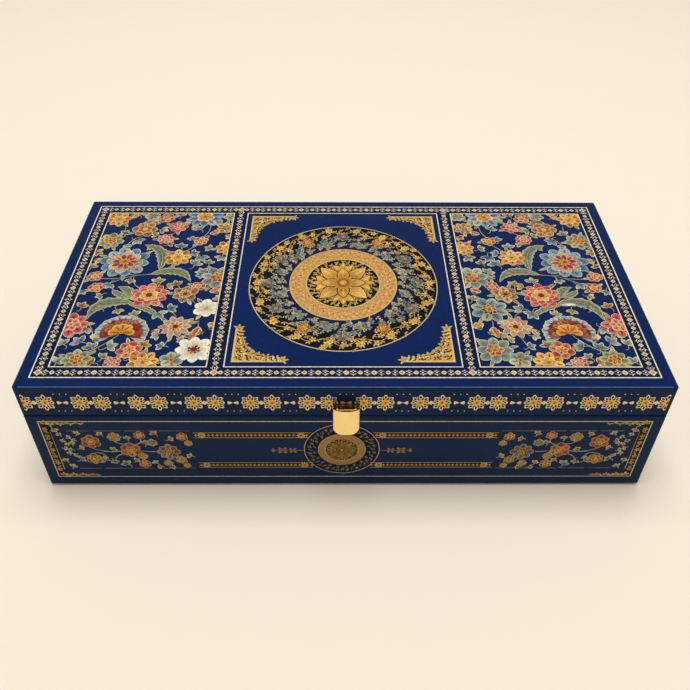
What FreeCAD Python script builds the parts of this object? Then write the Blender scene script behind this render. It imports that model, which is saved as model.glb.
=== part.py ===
import FreeCAD, Part
import math
import os
from FreeCAD import Placement, Rotation, Vector

# A low hinged gift chest: a mitred box of lacquered boards, a lid on two let-in butt hinges,
# a bowed brass clasp on the front and a cloth-covered lining.
# Frame: +X to the right, +Y to the back, +Z up, origin at the centre of the felt's underside.
# All lengths are in millimetres and all angles in degrees.

# Overall box
box_width = 340.0
box_depth = 176.0
box_height = 81.0
lid_height = 21.5
seam_gap = 0.4

# Boards
wall_thickness = 10.0
floor_thickness = 6.0
floor_rebate = 5.0
lid_top_thickness = 7.0
lip_clearance = 0.4
panel_clearance = 0.1

# Rounded and eased edges of the lacquered boards
corner_round = 1.4
top_ease = 0.8
seam_ease = 0.5
foot_ease = 0.8

# Felt under the base
felt_thickness = 1.0
felt_inset = 5.0
felt_corner_round = 6.0

# Lining boards
lining_thickness = 2.2
lining_gap = 0.15
lining_round = 0.8
lining_ease = 0.6
lip_height = 3.5
floor_lining_thickness = 2.6
lid_lining_thickness = 2.0

# Hinges
hinge_length = 32.0
hinge_end_inset = 65.0
hinge_inset = 2.6
knuckle_count = 3
knuckle_radius = 2.0
knuckle_gap = 0.2
knuckle_clearance = 0.25
hinge_pin_radius = 1.0
leaf_thickness = 1.0
leaf_reach = 6.8
leaf_clearance = 0.1
running_clearance = 0.05
lid_open_angle = 95.0
stop_slack_angle = 1.0

# Hinge screws
hinge_screw_spacing = 17.0
hinge_screw_reach = 4.6
hinge_screw_head_radius = 1.9
hinge_screw_shank_radius = 0.9
hinge_screw_length = 7.0
screw_clearance = 0.05

# Clasp hasp
hasp_width = 14.4
hasp_flat_share = 0.1
hasp_height = 17.8
hasp_standoff = 6.6
hasp_bow_share = 0.145
hasp_sheet = 0.7
hasp_corner_share = 0.3
hasp_shoulder_round = 1.6
hasp_edge_ease = 0.15
hasp_face_gap = 0.4
hasp_rise = 10.2

# Clasp pin and the bracket that carries it
clasp_pin_radius = 0.75
clasp_pin_out = 3.2
clasp_pin_drop = 2.5
clasp_pin_end_inset = 0.1
bracket_sheet = 0.9
bracket_above_pin = 1.1
bracket_below_pin = 3.6
ear_end_radius = 1.5
clasp_clearance = 0.4
bracket_screw_share = 0.333
bracket_screw_drop = 1.0
bracket_screw_head_radius = 1.4
bracket_screw_head_height = 0.8
bracket_screw_shank_radius = 0.75
bracket_screw_length = 6.0

# Clasp keeper
keeper_height = 5.2
keeper_seam_drop = 0.8
keeper_chamfer = 0.7
keeper_screw_head_radius = 2.3
keeper_screw_shank_radius = 1.2
keeper_screw_bite = 3.0

# Cuts run this far past the faces that they open
overrun = 5.0
# Two heights closer than this are the same height
same_height = 0.01

# Places that several pieces share
seam_z = box_height - lid_height
base_top_z = seam_z - seam_gap / 2
lid_low_z = seam_z + seam_gap / 2
lid_under_z = box_height - lid_top_thickness
floor_top_z = felt_thickness + floor_thickness
front_y = -box_depth / 2
hinge_y = box_depth / 2 - hinge_inset
hinge_centres_x = {"left": hinge_end_inset - box_width / 2, "right": box_width / 2 - hinge_end_inset}
lid_rim_thickness = wall_thickness - lip_clearance
bevel_angle = (lid_open_angle + stop_slack_angle) / 2
hasp_flat_width = hasp_flat_share * hasp_width
hasp_bow = hasp_bow_share * hasp_width
hasp_corner_round = hasp_corner_share * hasp_width
hasp_bow_radius = ((hasp_width - hasp_flat_width) ** 2 / 4 + hasp_bow ** 2) / (2 * hasp_bow)
hasp_top_z = seam_z + hasp_rise
hasp_low_z = hasp_top_z - hasp_height
bracket_screw_spacing = bracket_screw_share * hasp_width
clasp_pin_z = hasp_top_z - clasp_pin_drop
clasp_pin_y = front_y - clasp_pin_out
keeper_top_z = base_top_z - keeper_seam_drop
keeper_low_z = keeper_top_z - keeper_height
keeper_mid_z = (keeper_top_z + keeper_low_z) / 2


def slab(low, high):
    """Plain block between two opposite corners."""
    size = [b - a for a, b in zip(low, high)]
    return Part.makeBox(*size, Vector(*low))


def centred_slab(inset, low_z, high_z):
    """Block centred on the chest, its four sides set in from the chest's outline."""
    half_x = box_width / 2 - inset
    half_y = box_depth / 2 - inset
    return slab((-half_x, -half_y, low_z), (half_x, half_y, high_z))


def rod(radius, start, direction, length):
    """Round bar from a start point."""
    return Part.makeCylinder(radius, length, start, direction)


def prism(points, direction):
    """Straight-sided solid: a flat outline carried along a direction."""
    outline = Part.makePolygon(points + points[:1])
    return Part.Face(outline).extrude(direction)


def edges_at(shape, height):
    """Edges of a shape that lie wholly at one height."""
    def level(edge):
        box = edge.BoundBox
        return max(abs(box.ZMin - height), abs(box.ZMax - height)) < same_height

    return [edge for edge in shape.Edges if level(edge)]


def uprights(shape):
    """Straight vertical edges of a shape."""
    def vertical(edge):
        direction = edge.tangentAt(edge.FirstParameter)
        return abs(direction.z) > max(abs(direction.x), abs(direction.y))

    return [edge for edge in shape.Edges if vertical(edge)]


def eased_block(low_z, high_z, low_ease):
    """The chest's outline between two heights, with round upright corners and its lower edges eased."""
    block = centred_slab(0, low_z, high_z)
    block = block.makeFillet(corner_round, uprights(block))
    return block.makeChamfer(low_ease, edges_at(block, low_z))


def saw_mitres(ring):
    """Front, back, left and right boards of a ring, sawn apart on the corner diagonals."""
    far_x = box_width / 2 + overrun
    far_y = box_depth / 2 + overrun
    ridge_x = (box_width - box_depth) / 2
    tall = Vector(0, 0, ring.BoundBox.ZMax - ring.BoundBox.ZMin)
    foot = ring.BoundBox.ZMin

    def board(points):
        return ring.common(prism([Vector(x, y, foot) for x, y in points], tall))

    return {
        "front": board([(-far_x, -far_y), (far_x, -far_y), (ridge_x, 0), (-ridge_x, 0)]),
        "back": board([(far_x, far_y), (-far_x, far_y), (-ridge_x, 0), (ridge_x, 0)]),
        "left": board([(-far_x, far_y), (-far_x, -far_y), (-ridge_x, 0)]),
        "right": board([(far_x, -far_y), (far_x, far_y), (ridge_x, 0)]),
    }


def stop_bevel(side):
    """Wedge cut from the back edge at the seam; side is -1 below the seam and 1 above it.

    The bevel starts on the hinge axis, so the opened lid comes to rest on the base.
    """
    reach = hinge_inset + overrun
    rise = side * reach * math.tan(math.radians(bevel_angle))
    start_x = -box_width / 2 - overrun
    points = [
        Vector(start_x, hinge_y, seam_z),
        Vector(start_x, hinge_y + reach, seam_z),
        Vector(start_x, hinge_y + reach, seam_z + rise),
    ]
    return prism(points, Vector(box_width + 2 * overrun, 0, 0))


def hinge_seat(centre_x, side):
    """Room for one hinge in a rim: a shallow mortise for the leaf and a trough for the knuckles."""
    half = hinge_length / 2 + leaf_clearance
    heights = sorted([seam_z, seam_z + side * (seam_gap / 2 + leaf_thickness)])
    mortise = slab(
        (centre_x - half, hinge_y - leaf_reach - leaf_clearance, heights[0]),
        (centre_x + half, hinge_y, heights[1]),
    )
    trough_start = Vector(centre_x - half, hinge_y, seam_z)
    trough = rod(knuckle_radius + knuckle_clearance, trough_start, Vector(1, 0, 0), 2 * half)
    return mortise.fuse(trough)


def flat_screw(head_radius, shank_radius, length):
    """Flat-headed screw along -Z with its head's face at the origin."""
    points = [
        Vector(0, 0, 0),
        Vector(head_radius, 0, 0),
        Vector(shank_radius, 0, shank_radius - head_radius),
        Vector(shank_radius, 0, -length),
        Vector(0, 0, -length),
    ]
    return Part.Face(Part.makePolygon(points + points[:1])).revolve(Vector(), Vector(0, 0, 1), 360)


def countersink(head_radius, shank_radius):
    """Conical seat for such a head, with the screw's clearance all round."""
    wide = head_radius + screw_clearance
    narrow = shank_radius + screw_clearance
    return Part.makeCone(wide, narrow, wide - narrow, Vector(), Vector(0, 0, -1))


def pilot_hole(shank_radius, length):
    """Straight hole along -Z for a screw's shank, with the screw's clearance all round."""
    return rod(shank_radius + screw_clearance, Vector(), Vector(0, 0, -1), length + screw_clearance)


def cheese_screw(head_radius, head_height, shank_radius, length):
    """Screw along -Z with a flat-topped head whose underside is at the origin."""
    head = rod(head_radius, Vector(), Vector(0, 0, 1), head_height)
    return head.fuse(rod(shank_radius, Vector(), Vector(0, 0, -1), length))


def placed(shape, position, rotation=None):
    """Copy of a shape turned about its own origin and then moved."""
    copy = shape.copy()
    copy.Placement = Placement(position, rotation or Rotation())
    return copy


def hinge_screw_places(side):
    """Position and turn of each hinge screw in the base's leaves (-1) or the lid's leaves (1)."""
    turn = Rotation(Vector(1, 0, 0), 0 if side < 0 else 180)
    places = []
    for centre_x in hinge_centres_x.values():
        for offset in (-hinge_screw_spacing / 2, hinge_screw_spacing / 2):
            leaf_z = seam_z + side * seam_gap / 2
            position = Vector(centre_x + offset, hinge_y - hinge_screw_reach, leaf_z)
            places.append((position, turn))
    return places


def hinge_screws(side):
    """The four flat-headed screws of one pair of leaves."""
    screw = flat_screw(hinge_screw_head_radius, hinge_screw_shank_radius, hinge_screw_length)
    return [placed(screw, *place) for place in hinge_screw_places(side)]


def hinge_pilot_holes(side):
    """Holes in a rim and its leaves for the shanks of those screws."""
    hole = pilot_hole(hinge_screw_shank_radius, hinge_screw_length)
    return [placed(hole, *place) for place in hinge_screw_places(side)]


def hinge_countersinks(side):
    """Conical seats in the leaves for the heads of those screws."""
    seat = countersink(hinge_screw_head_radius, hinge_screw_shank_radius)
    return [placed(seat, *place) for place in hinge_screw_places(side)]


def hinge_leaf(centre_x, side):
    """Brass leaf with its own knuckles: the outer ones for the base (-1), the rest for the lid (1)."""
    start_x = centre_x - hinge_length / 2
    heights = sorted([seam_z + side * seam_gap / 2, seam_z + side * (seam_gap / 2 + leaf_thickness)])
    leaf = slab(
        (start_x, hinge_y - leaf_reach, heights[0]),
        (start_x + hinge_length, hinge_y, heights[1]),
    )
    pitch = hinge_length / knuckle_count
    own_parity = 0 if side < 0 else 1
    along = Vector(1, 0, 0)
    for index in range(knuckle_count):
        knuckle_start = Vector(start_x + index * pitch, hinge_y, seam_z)
        half_gap = along * (knuckle_gap / 2)
        if index % 2 == own_parity:
            first_gap = half_gap if index else Vector()
            last_gap = half_gap if index < knuckle_count - 1 else Vector()
            barrel_length = pitch - first_gap.x - last_gap.x
            leaf = leaf.fuse(rod(knuckle_radius, knuckle_start + first_gap, along, barrel_length))
        else:
            clear_radius = knuckle_radius + knuckle_clearance
            leaf = leaf.cut(rod(clear_radius, knuckle_start - half_gap, along, pitch + knuckle_gap))
    bore_start = Vector(start_x - overrun, hinge_y, seam_z)
    bore = rod(hinge_pin_radius + running_clearance, bore_start, along, hinge_length + 2 * overrun)
    return leaf.cut([bore] + hinge_pilot_holes(side) + hinge_countersinks(side)).removeSplitter()


def hinge_pin(centre_x):
    """Pin through all the knuckles of one hinge."""
    start = Vector(centre_x - hinge_length / 2, hinge_y, seam_z)
    return rod(hinge_pin_radius, start, Vector(1, 0, 0), hinge_length)


def base_walls():
    """Four mitred walls, rebated for the floor and let in for the hinges and the keeper's screw."""
    ring = eased_block(felt_thickness, base_top_z, foot_ease)
    ring = ring.makeChamfer(seam_ease, edges_at(ring, base_top_z))
    cavity = centred_slab(wall_thickness, felt_thickness - overrun, base_top_z + overrun)
    rebate = centred_slab(wall_thickness - floor_rebate, felt_thickness - overrun, floor_top_z)
    ring = ring.cut([cavity, rebate, stop_bevel(-1)])
    walls = saw_mitres(ring)
    seats = [hinge_seat(x, -1) for x in hinge_centres_x.values()]
    walls["back"] = walls["back"].cut(seats + hinge_pilot_holes(-1))
    walls["front"] = walls["front"].cut([keeper_pilot_hole(), keeper_countersink()])
    return walls


def floor_panel():
    """Floor board in the walls' rebate."""
    return centred_slab(wall_thickness - floor_rebate + panel_clearance, felt_thickness, floor_top_z)


def base_felt():
    """Felt sheet glued under the base."""
    sheet = centred_slab(felt_inset, 0, felt_thickness)
    return sheet.makeFillet(felt_corner_round, uprights(sheet))


def lid_boards():
    """The lid's top board and the four mitred rims under it."""
    block = eased_block(lid_low_z, box_height, seam_ease)
    block = block.makeChamfer(top_ease, edges_at(block, box_height))
    top = block.common(centred_slab(-overrun, lid_under_z, box_height + overrun))
    recess = centred_slab(lid_rim_thickness, lid_low_z - overrun, box_height + overrun)
    upper = centred_slab(-overrun, lid_under_z, box_height + overrun)
    rims = saw_mitres(block.cut([recess, upper, stop_bevel(1)]))
    seats = [hinge_seat(x, 1) for x in hinge_centres_x.values()]
    rims["back"] = rims["back"].cut(seats + hinge_pilot_holes(1))
    rims["front"] = rims["front"].cut(bracket_screw_holes())
    return top, rims


def wall_linings():
    """Four covered boards against the walls, standing above the seam as a lip that centres the lid."""
    outer = wall_thickness + lining_gap
    top_z = seam_z + lip_height
    ring = centred_slab(outer, floor_top_z, top_z)
    ring = ring.cut(centred_slab(outer + lining_thickness, floor_top_z - overrun, top_z + overrun))
    ring = ring.makeFillet(lining_round, edges_at(ring, top_z))
    return saw_mitres(ring)


def floor_lining():
    """Covered board on the floor, between the wall linings."""
    inset = wall_thickness + 2 * lining_gap + lining_thickness
    board = centred_slab(inset, floor_top_z, floor_top_z + floor_lining_thickness)
    return board.makeChamfer(lining_ease, edges_at(board, floor_top_z + floor_lining_thickness))


def lid_lining():
    """Covered board under the lid's top, between the rims."""
    low_z = lid_under_z - lid_lining_thickness
    board = centred_slab(lid_rim_thickness + lining_gap, low_z, lid_under_z)
    return board.makeChamfer(lining_ease, edges_at(board, low_z))


def bowed_face(inset, back_gap, height_z):
    """Outline of the clasp in plan, set in from the hasp's skin: straight cheeks and a bowed front."""
    half = hasp_width / 2 - inset
    flat = hasp_flat_width / 2
    radius = hasp_bow_radius - inset
    sweep = math.asin((half - flat) / radius)
    front = front_y - hasp_standoff + inset

    def on_bow(side, angle):
        x = side * (flat + radius * math.sin(angle))
        return Vector(x, front + radius * (1 - math.cos(angle)), height_z)

    def bow(side):
        return Part.Arc(on_bow(side, sweep), on_bow(side, sweep / 2), on_bow(side, 0)).toShape()

    back_right = Vector(half, front_y - back_gap, height_z)
    back_left = Vector(-half, front_y - back_gap, height_z)
    edges = [
        Part.makeLine(back_right, on_bow(1, sweep)),
        bow(1),
        Part.makeLine(on_bow(1, 0), on_bow(-1, 0)),
        bow(-1),
        Part.makeLine(on_bow(-1, sweep), back_left),
        Part.makeLine(back_left, back_right),
    ]
    return Part.Face(Part.Wire(Part.__sortEdges__(edges)))


def hasp_limits():
    """Solid that the hasp stays within: round behind its pin, with two round lower corners."""
    half = hasp_width / 2
    behind = rod(
        clasp_pin_out - hasp_face_gap,
        Vector(-half, clasp_pin_y, clasp_pin_z),
        Vector(1, 0, 0),
        hasp_width,
    )
    hasp_front_y = front_y - hasp_standoff
    behind = behind.common(slab((-half, hasp_front_y, hasp_low_z), (half, front_y, hasp_top_z)))
    below = slab((-half, hasp_front_y, hasp_low_z), (half, front_y, clasp_pin_z))
    below = below.makeFillet(hasp_corner_round, [
        e for e in edges_at(below, hasp_low_z) if abs(e.CenterOfMass.x) > half - same_height
    ])
    ahead = slab((-half, hasp_front_y, clasp_pin_z), (half, clasp_pin_y, hasp_top_z))
    return below.fuse([behind, ahead])


def top_rim(shell, outer):
    """Edges of the hasp's open top that lie on its outer skin."""
    def on_skin(edge):
        points = [Part.Vertex(point) for point in edge.discretize(3)]
        return all(skin.distToShape(point)[0] < same_height for point in points)

    back_y = front_y - hasp_face_gap - same_height
    upright_faces = [face for face in outer.Faces if face.BoundBox.ZLength > same_height]
    skin = Part.Compound([face for face in upright_faces if face.BoundBox.YMin < back_y])
    return [edge for edge in edges_at(shell, hasp_top_z) if on_skin(edge)]


def hasp():
    """Bowed brass sheet, open above and below, that swings on the pin and grips the keeper."""
    half = hasp_width / 2
    height = Vector(0, 0, hasp_height)
    outer = bowed_face(0, hasp_face_gap, hasp_low_z).extrude(height)
    outer = outer.makeFillet(hasp_shoulder_round, [
        e for e in uprights(outer)
        if abs(e.CenterOfMass.x) > half - same_height and e.CenterOfMass.y < clasp_pin_y
    ])
    hollow = bowed_face(hasp_sheet, 0, hasp_low_z - overrun).extrude(height + Vector(0, 0, 2 * overrun))
    shell = outer.cut(hollow).common(hasp_limits()).removeSplitter()
    shell = shell.makeChamfer(hasp_edge_ease, top_rim(shell, outer))
    bore_start = Vector(-half - overrun, clasp_pin_y, clasp_pin_z)
    bore_length = hasp_width + 2 * overrun
    bore = rod(clasp_pin_radius + running_clearance, bore_start, Vector(1, 0, 0), bore_length)
    return shell.cut(bore).removeSplitter()


def clasp_pin():
    """Pin on which the hasp turns, held in the bracket's ears and ending inside the hasp's cheeks."""
    reach = hasp_width / 2 - clasp_pin_end_inset
    start = Vector(-reach, clasp_pin_y, clasp_pin_z)
    return rod(clasp_pin_radius, start, Vector(1, 0, 0), 2 * reach)


def ear_outer_x():
    """Half span over the bracket's ears: as wide as the hasp's bowed hollow lets them be."""
    radius = hasp_bow_radius - hasp_sheet
    before_front = hasp_standoff - hasp_sheet - clasp_pin_out - ear_end_radius
    bulge = math.sqrt(2 * radius * before_front - before_front ** 2)
    return min(hasp_flat_width / 2 + bulge, hasp_width / 2 - hasp_sheet) - clasp_clearance


def clasp_bracket():
    """Folded brass bracket on the lid's front, with a plate against the rim and an ear at each end."""
    half = ear_outer_x()
    low_z = clasp_pin_z - bracket_below_pin
    high_z = clasp_pin_z + bracket_above_pin
    bracket = slab((-half, front_y - bracket_sheet, low_z), (half, front_y, high_z))
    across = Vector(1, 0, 0)
    for ear_x in (-half, half - bracket_sheet):
        ear_start = Vector(ear_x, clasp_pin_y, clasp_pin_z)
        ear = rod(ear_end_radius, ear_start, across, bracket_sheet)
        ear = ear.fuse(slab(
            (ear_x, clasp_pin_y, clasp_pin_z - ear_end_radius),
            (ear_x + bracket_sheet, front_y, high_z),
        ))
        bracket = bracket.fuse(ear)
    bore_start = Vector(-half - overrun, clasp_pin_y, clasp_pin_z)
    bore = rod(clasp_pin_radius + running_clearance, bore_start, across, 2 * (half + overrun))
    return bracket.cut([bore] + bracket_screw_holes()).removeSplitter()


def bracket_screw_places():
    """Position and turn of the two bracket screws, driven into the lid's front rim."""
    turn = Rotation(Vector(1, 0, 0), 90)
    z = clasp_pin_z - bracket_screw_drop
    xs = (-bracket_screw_spacing / 2, bracket_screw_spacing / 2)
    return [(Vector(x, front_y - bracket_sheet, z), turn) for x in xs]


def bracket_screws():
    """Two small screws with flat-topped heads."""
    screw = cheese_screw(
        bracket_screw_head_radius,
        bracket_screw_head_height,
        bracket_screw_shank_radius,
        bracket_screw_length,
    )
    return [placed(screw, *place) for place in bracket_screw_places()]


def bracket_screw_holes():
    """Holes through the bracket and into the rim for those screws."""
    radius = bracket_screw_shank_radius + screw_clearance
    depth = bracket_screw_length + screw_clearance
    return [rod(radius, position, Vector(0, 1, 0), depth) for position, turn in bracket_screw_places()]


def clasp_keeper():
    """Brass block on the base that fills the hasp's hollow, with eased upper and lower front edges."""
    sheet_and_gap = hasp_sheet + clasp_clearance
    block = bowed_face(sheet_and_gap, 0, keeper_low_z).extrude(Vector(0, 0, keeper_height))
    start_x = -hasp_width / 2
    keeper_front = front_y - hasp_standoff + sheet_and_gap
    eased_end = prism([
        Vector(start_x, front_y, keeper_low_z),
        Vector(start_x, front_y, keeper_top_z),
        Vector(start_x, keeper_front + keeper_chamfer, keeper_top_z),
        Vector(start_x, keeper_front, keeper_top_z - keeper_chamfer),
        Vector(start_x, keeper_front, keeper_low_z + keeper_chamfer),
        Vector(start_x, keeper_front + keeper_chamfer, keeper_low_z),
    ], Vector(hasp_width, 0, 0))
    return block.common(eased_end).cut(keeper_pilot_hole())


def keeper_screw_place():
    """Position and turn of the keeper's screw, driven from inside the front wall."""
    return Vector(0, front_y + wall_thickness, keeper_mid_z), Rotation(Vector(1, 0, 0), -90)


def keeper_screw():
    """Flat-headed screw through the front wall into the keeper."""
    length = wall_thickness + keeper_screw_bite
    screw = flat_screw(keeper_screw_head_radius, keeper_screw_shank_radius, length)
    return placed(screw, *keeper_screw_place())


def keeper_pilot_hole():
    """Hole through the wall and into the keeper for that screw's shank."""
    hole = pilot_hole(keeper_screw_shank_radius, wall_thickness + keeper_screw_bite)
    return placed(hole, *keeper_screw_place())


def keeper_countersink():
    """Conical seat for that screw's head in the wall's inner face."""
    seat = countersink(keeper_screw_head_radius, keeper_screw_shank_radius)
    return placed(seat, *keeper_screw_place())


def all_nodes():
    """Every separate piece of the chest by name."""
    nodes = {"base_" + side + "_wall": wall for side, wall in base_walls().items()}
    nodes["base_floor_panel"] = floor_panel()
    nodes["base_felt"] = base_felt()
    nodes.update({side + "_wall_lining": board for side, board in wall_linings().items()})
    nodes["floor_lining"] = floor_lining()
    top, rims = lid_boards()
    nodes["lid_top_panel"] = top
    nodes.update({"lid_" + side + "_rim": rim for side, rim in rims.items()})
    nodes["lid_lining"] = lid_lining()
    for side, centre_x in hinge_centres_x.items():
        nodes[side + "_hinge_base_leaf"] = hinge_leaf(centre_x, -1)
        nodes[side + "_hinge_lid_leaf"] = hinge_leaf(centre_x, 1)
        nodes[side + "_hinge_pin"] = hinge_pin(centre_x)
    nodes["base_hinge_screws"] = Part.makeCompound(hinge_screws(-1))
    nodes["lid_hinge_screws"] = Part.makeCompound(hinge_screws(1))
    nodes["clasp_hasp"] = hasp()
    nodes["clasp_pin"] = clasp_pin()
    nodes["clasp_bracket"] = clasp_bracket()
    nodes["clasp_bracket_screws"] = Part.makeCompound(bracket_screws())
    nodes["clasp_keeper"] = clasp_keeper()
    nodes["clasp_keeper_screw"] = keeper_screw()
    return nodes


os.makedirs("parts", exist_ok=True)
for name, shape in all_nodes().items():
    shape.exportStep("parts/" + name + ".step")
    state = "valid" if shape.isValid() else "INVALID"
    print(name, len(shape.Solids), "solids", round(shape.Volume, 1), "mm3", state)
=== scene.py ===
# %% [markdown]
# # A lacquered gift chest
# The chest's boards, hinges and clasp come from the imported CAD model, so Blender only gives them their
# finish. What the CAD leaves out is the painting: gold lines, flowers and medallions on navy lacquer.
# It could be an image mapped on the boards, but an image is blind to light and no number can change it.
# Here each petal, leaf and line is a thin coat of paint, a small surface worked out with numpy.

import bpy
import numpy as np
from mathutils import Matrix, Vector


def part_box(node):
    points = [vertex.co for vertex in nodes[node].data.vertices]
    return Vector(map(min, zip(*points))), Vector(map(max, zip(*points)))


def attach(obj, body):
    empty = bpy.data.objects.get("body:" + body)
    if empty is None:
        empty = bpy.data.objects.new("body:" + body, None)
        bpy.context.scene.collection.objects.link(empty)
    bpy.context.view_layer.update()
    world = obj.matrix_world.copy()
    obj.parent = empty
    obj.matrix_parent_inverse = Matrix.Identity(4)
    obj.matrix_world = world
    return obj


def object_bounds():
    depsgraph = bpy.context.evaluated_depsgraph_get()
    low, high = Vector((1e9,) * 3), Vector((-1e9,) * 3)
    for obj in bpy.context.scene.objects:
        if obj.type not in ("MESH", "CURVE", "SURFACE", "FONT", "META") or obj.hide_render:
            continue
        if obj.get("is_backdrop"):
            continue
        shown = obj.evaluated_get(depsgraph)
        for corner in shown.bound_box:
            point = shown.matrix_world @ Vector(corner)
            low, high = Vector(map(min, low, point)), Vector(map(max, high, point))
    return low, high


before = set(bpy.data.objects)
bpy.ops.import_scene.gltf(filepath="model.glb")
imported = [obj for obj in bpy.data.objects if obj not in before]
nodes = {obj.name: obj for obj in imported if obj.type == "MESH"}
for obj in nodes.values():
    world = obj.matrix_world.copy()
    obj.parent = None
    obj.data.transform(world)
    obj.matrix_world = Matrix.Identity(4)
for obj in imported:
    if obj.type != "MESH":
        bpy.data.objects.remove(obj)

MM = 0.001
cad_low, cad_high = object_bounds()
print("CAD box in mm:", [round(side / MM, 1) for side in cad_high - cad_low])

# %% [markdown]
# ## The camera
# The camera stands in front of the chest and looks down on its lid. Its place could be found by trial,
# but the four top corners and the seam fix it well enough to be worked out: a place, a pitch, and a small
# yaw and roll. Its axes are built from those angles, and a camera looks along its own minus Z.

# %% Camera
camera_place = np.array([-4.01, -356.2, 356.38]) * MM
pitch, yaw, roll = np.radians([42.543, 0.657, 0.486])
forward = np.array([np.sin(yaw) * np.cos(pitch), np.cos(yaw) * np.cos(pitch), -np.sin(pitch)])
right = np.array([np.cos(yaw), -np.sin(yaw), 0])
up = np.cross(right, forward)
right, up = np.cos(roll) * right + np.sin(roll) * up, np.cos(roll) * up - np.sin(roll) * right


def placed_at(item, axes, place):
    """Sets an object's matrix from its three axes, as columns, and its place."""
    matrix = np.eye(4)
    matrix[:3] = np.column_stack([*axes, place])
    bpy.context.scene.collection.objects.link(item)
    item.matrix_world = matrix.T.tolist()


lens = bpy.data.cameras.new("camera")
lens.sensor_width, lens.lens, lens.clip_start = 36.0, 39.444, 0.01
camera = bpy.data.objects.new("camera", lens)
placed_at(camera, (right, up, -forward), camera_place)
bpy.context.scene.camera = camera
bpy.context.scene.view_settings.view_transform = "Standard"
print("camera height in mm:", round(camera.location.z / MM, 1))

# %% [markdown]
# ## Small helpers for colour and nodes
# Colours are written as a screen shows them, as hex values, and Blender's shaders work in linear light,
# so one function converts. A second one adds a node with its settings and inputs. The rest use it for the
# few steps that every finish here is made of, so that a material reads as a short list.

# %% Colour and node helpers
def linear(hex_colour):
    """Linear RGB of an sRGB hex colour: a channel c is c / 12.92 when small, and otherwise
    ((c + 0.055) / 1.055) ^ 2.4."""
    c = np.array([int(hex_colour[i:i + 2], 16) for i in (1, 3, 5)]) / 255
    return np.where(c <= 0.04045, c / 12.92, ((c + 0.055) / 1.055) ** 2.4)


def rgba(hex_colour):
    return (*linear(hex_colour), 1.0)


def add(tree, kind, inputs=None, **settings):
    """Adds one node. An input is a value or another node's output socket."""
    node = tree.nodes.new(kind)
    for name, value in settings.items():
        setattr(node, name, value)
    for name, value in (inputs or {}).items():
        if isinstance(value, bpy.types.NodeSocket):
            tree.links.new(value, node.inputs[name])
        else:
            node.inputs[name].default_value = value
    return node


def new_material(name):
    """An empty material, its node tree, and the Object coordinates that its patterns are laid on."""
    made = bpy.data.materials.new(name)
    made.use_nodes = True
    tree = made.node_tree
    tree.nodes.clear()
    return made, tree, add(tree, "ShaderNodeTexCoord").outputs["Object"]


def noise(tree, place, size_mm, detail):
    """Noise that repeats about once in size_mm, on coordinates in metres."""
    return add(tree, "ShaderNodeTexNoise", {"Vector": place, "Scale": 1 / (size_mm * MM),
                                            "Detail": detail}).outputs["Fac"]


# ShaderNodeMix keeps a set of sockets for each kind of value: these are the ones for colours.
MIX_SHARE, MIX_A, MIX_B, MIX_COLOUR = 0, 6, 7, 2


def blend(tree, share, a, b, kind="MIX"):
    """Colour a at share 0 and b at share 1; with kind MULTIPLY and share 1, a times b."""
    return add(tree, "ShaderNodeMix", {MIX_SHARE: share, MIX_A: a, MIX_B: b}, data_type="RGBA",
               blend_type=kind).outputs[MIX_COLOUR]


def spread(tree, value, low, high, value_low=0.0, value_high=1.0):
    """Turns the range from value_low to value_high into the range from low to high."""
    return add(tree, "ShaderNodeMapRange", {"Value": value, "From Min": value_low, "From Max": value_high,
                                            "To Min": low, "To Max": high}).outputs["Result"]


def relief(tree, height, strength, deep_mm, **inputs):
    """Normals of a surface whose height follows a pattern."""
    return add(tree, "ShaderNodeBump", {"Height": height, "Strength": strength, "Distance": deep_mm * MM,
                                        **inputs}).outputs["Normal"]


def surface(tree, inputs):
    """Ends a material with one Principled surface."""
    shader = add(tree, "ShaderNodeBsdfPrincipled", inputs)
    add(tree, "ShaderNodeOutputMaterial", {"Surface": shader.outputs["BSDF"]})


NOISE_LOW, NOISE_HIGH = 0.3, 0.7  # nearly all of a noise lies between these
print("helpers ready")

# %% [markdown]
# ## Floor and light
# The chest stands on pale paper that curves up into a wall, as in a small studio. A plane would end at a
# hard horizon in the low views, so the paper is a bowl: a profile that is flat, rises on a quarter circle
# and ends in a low wall, turned about the vertical. A soft box above and a little behind the chest lights
# the lid and leaves the front in shade with a soft shadow before it. The world fills the shadows.

# %% Paper floor
floor_flat, floor_bend, floor_wall = 1.6, 1.1, 0.5  # m
floor_steps, floor_turns = 14, 64
bend = np.linspace(0, np.pi / 2, floor_steps)
radius = np.concatenate([[0.0], floor_flat + floor_bend * np.sin(bend), [floor_flat + floor_bend]])
height = np.concatenate([[0.0], floor_bend * (1 - np.cos(bend)), [floor_bend + floor_wall]])
turn = np.linspace(0, 2 * np.pi, floor_turns, endpoint=False)
paper_points = np.stack([np.outer(radius, np.cos(turn)), np.outer(radius, np.sin(turn)),
                         np.repeat(height[:, None], floor_turns, 1)], -1).reshape(-1, 3)
ring = np.arange(len(radius) * floor_turns).reshape(-1, floor_turns)
after = np.roll(ring, -1, 1)
paper_faces = np.stack([ring[:-1], ring[1:], after[1:], after[:-1]], -1).reshape(-1, 4)
paper_points[:, 2] += cad_low.z
paper_mesh = bpy.data.meshes.new("paper_floor")
paper_mesh.from_pydata(paper_points.tolist(), [], paper_faces.tolist())
paper_mesh.polygons.foreach_set("use_smooth", np.ones(len(paper_mesh.polygons), bool))
paper = bpy.data.objects.new("paper_floor", paper_mesh)
bpy.context.scene.collection.objects.link(paper)
paper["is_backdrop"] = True

# Matt art paper: no gloss, a warm cream with a cloud of slightly deeper tone.
paper_stuff, tree, place = new_material("matt_cream_paper")
tone = blend(tree, noise(tree, place, 900, 1.0), rgba("#FBF2E3"), rgba("#F8EEDD"))
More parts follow.
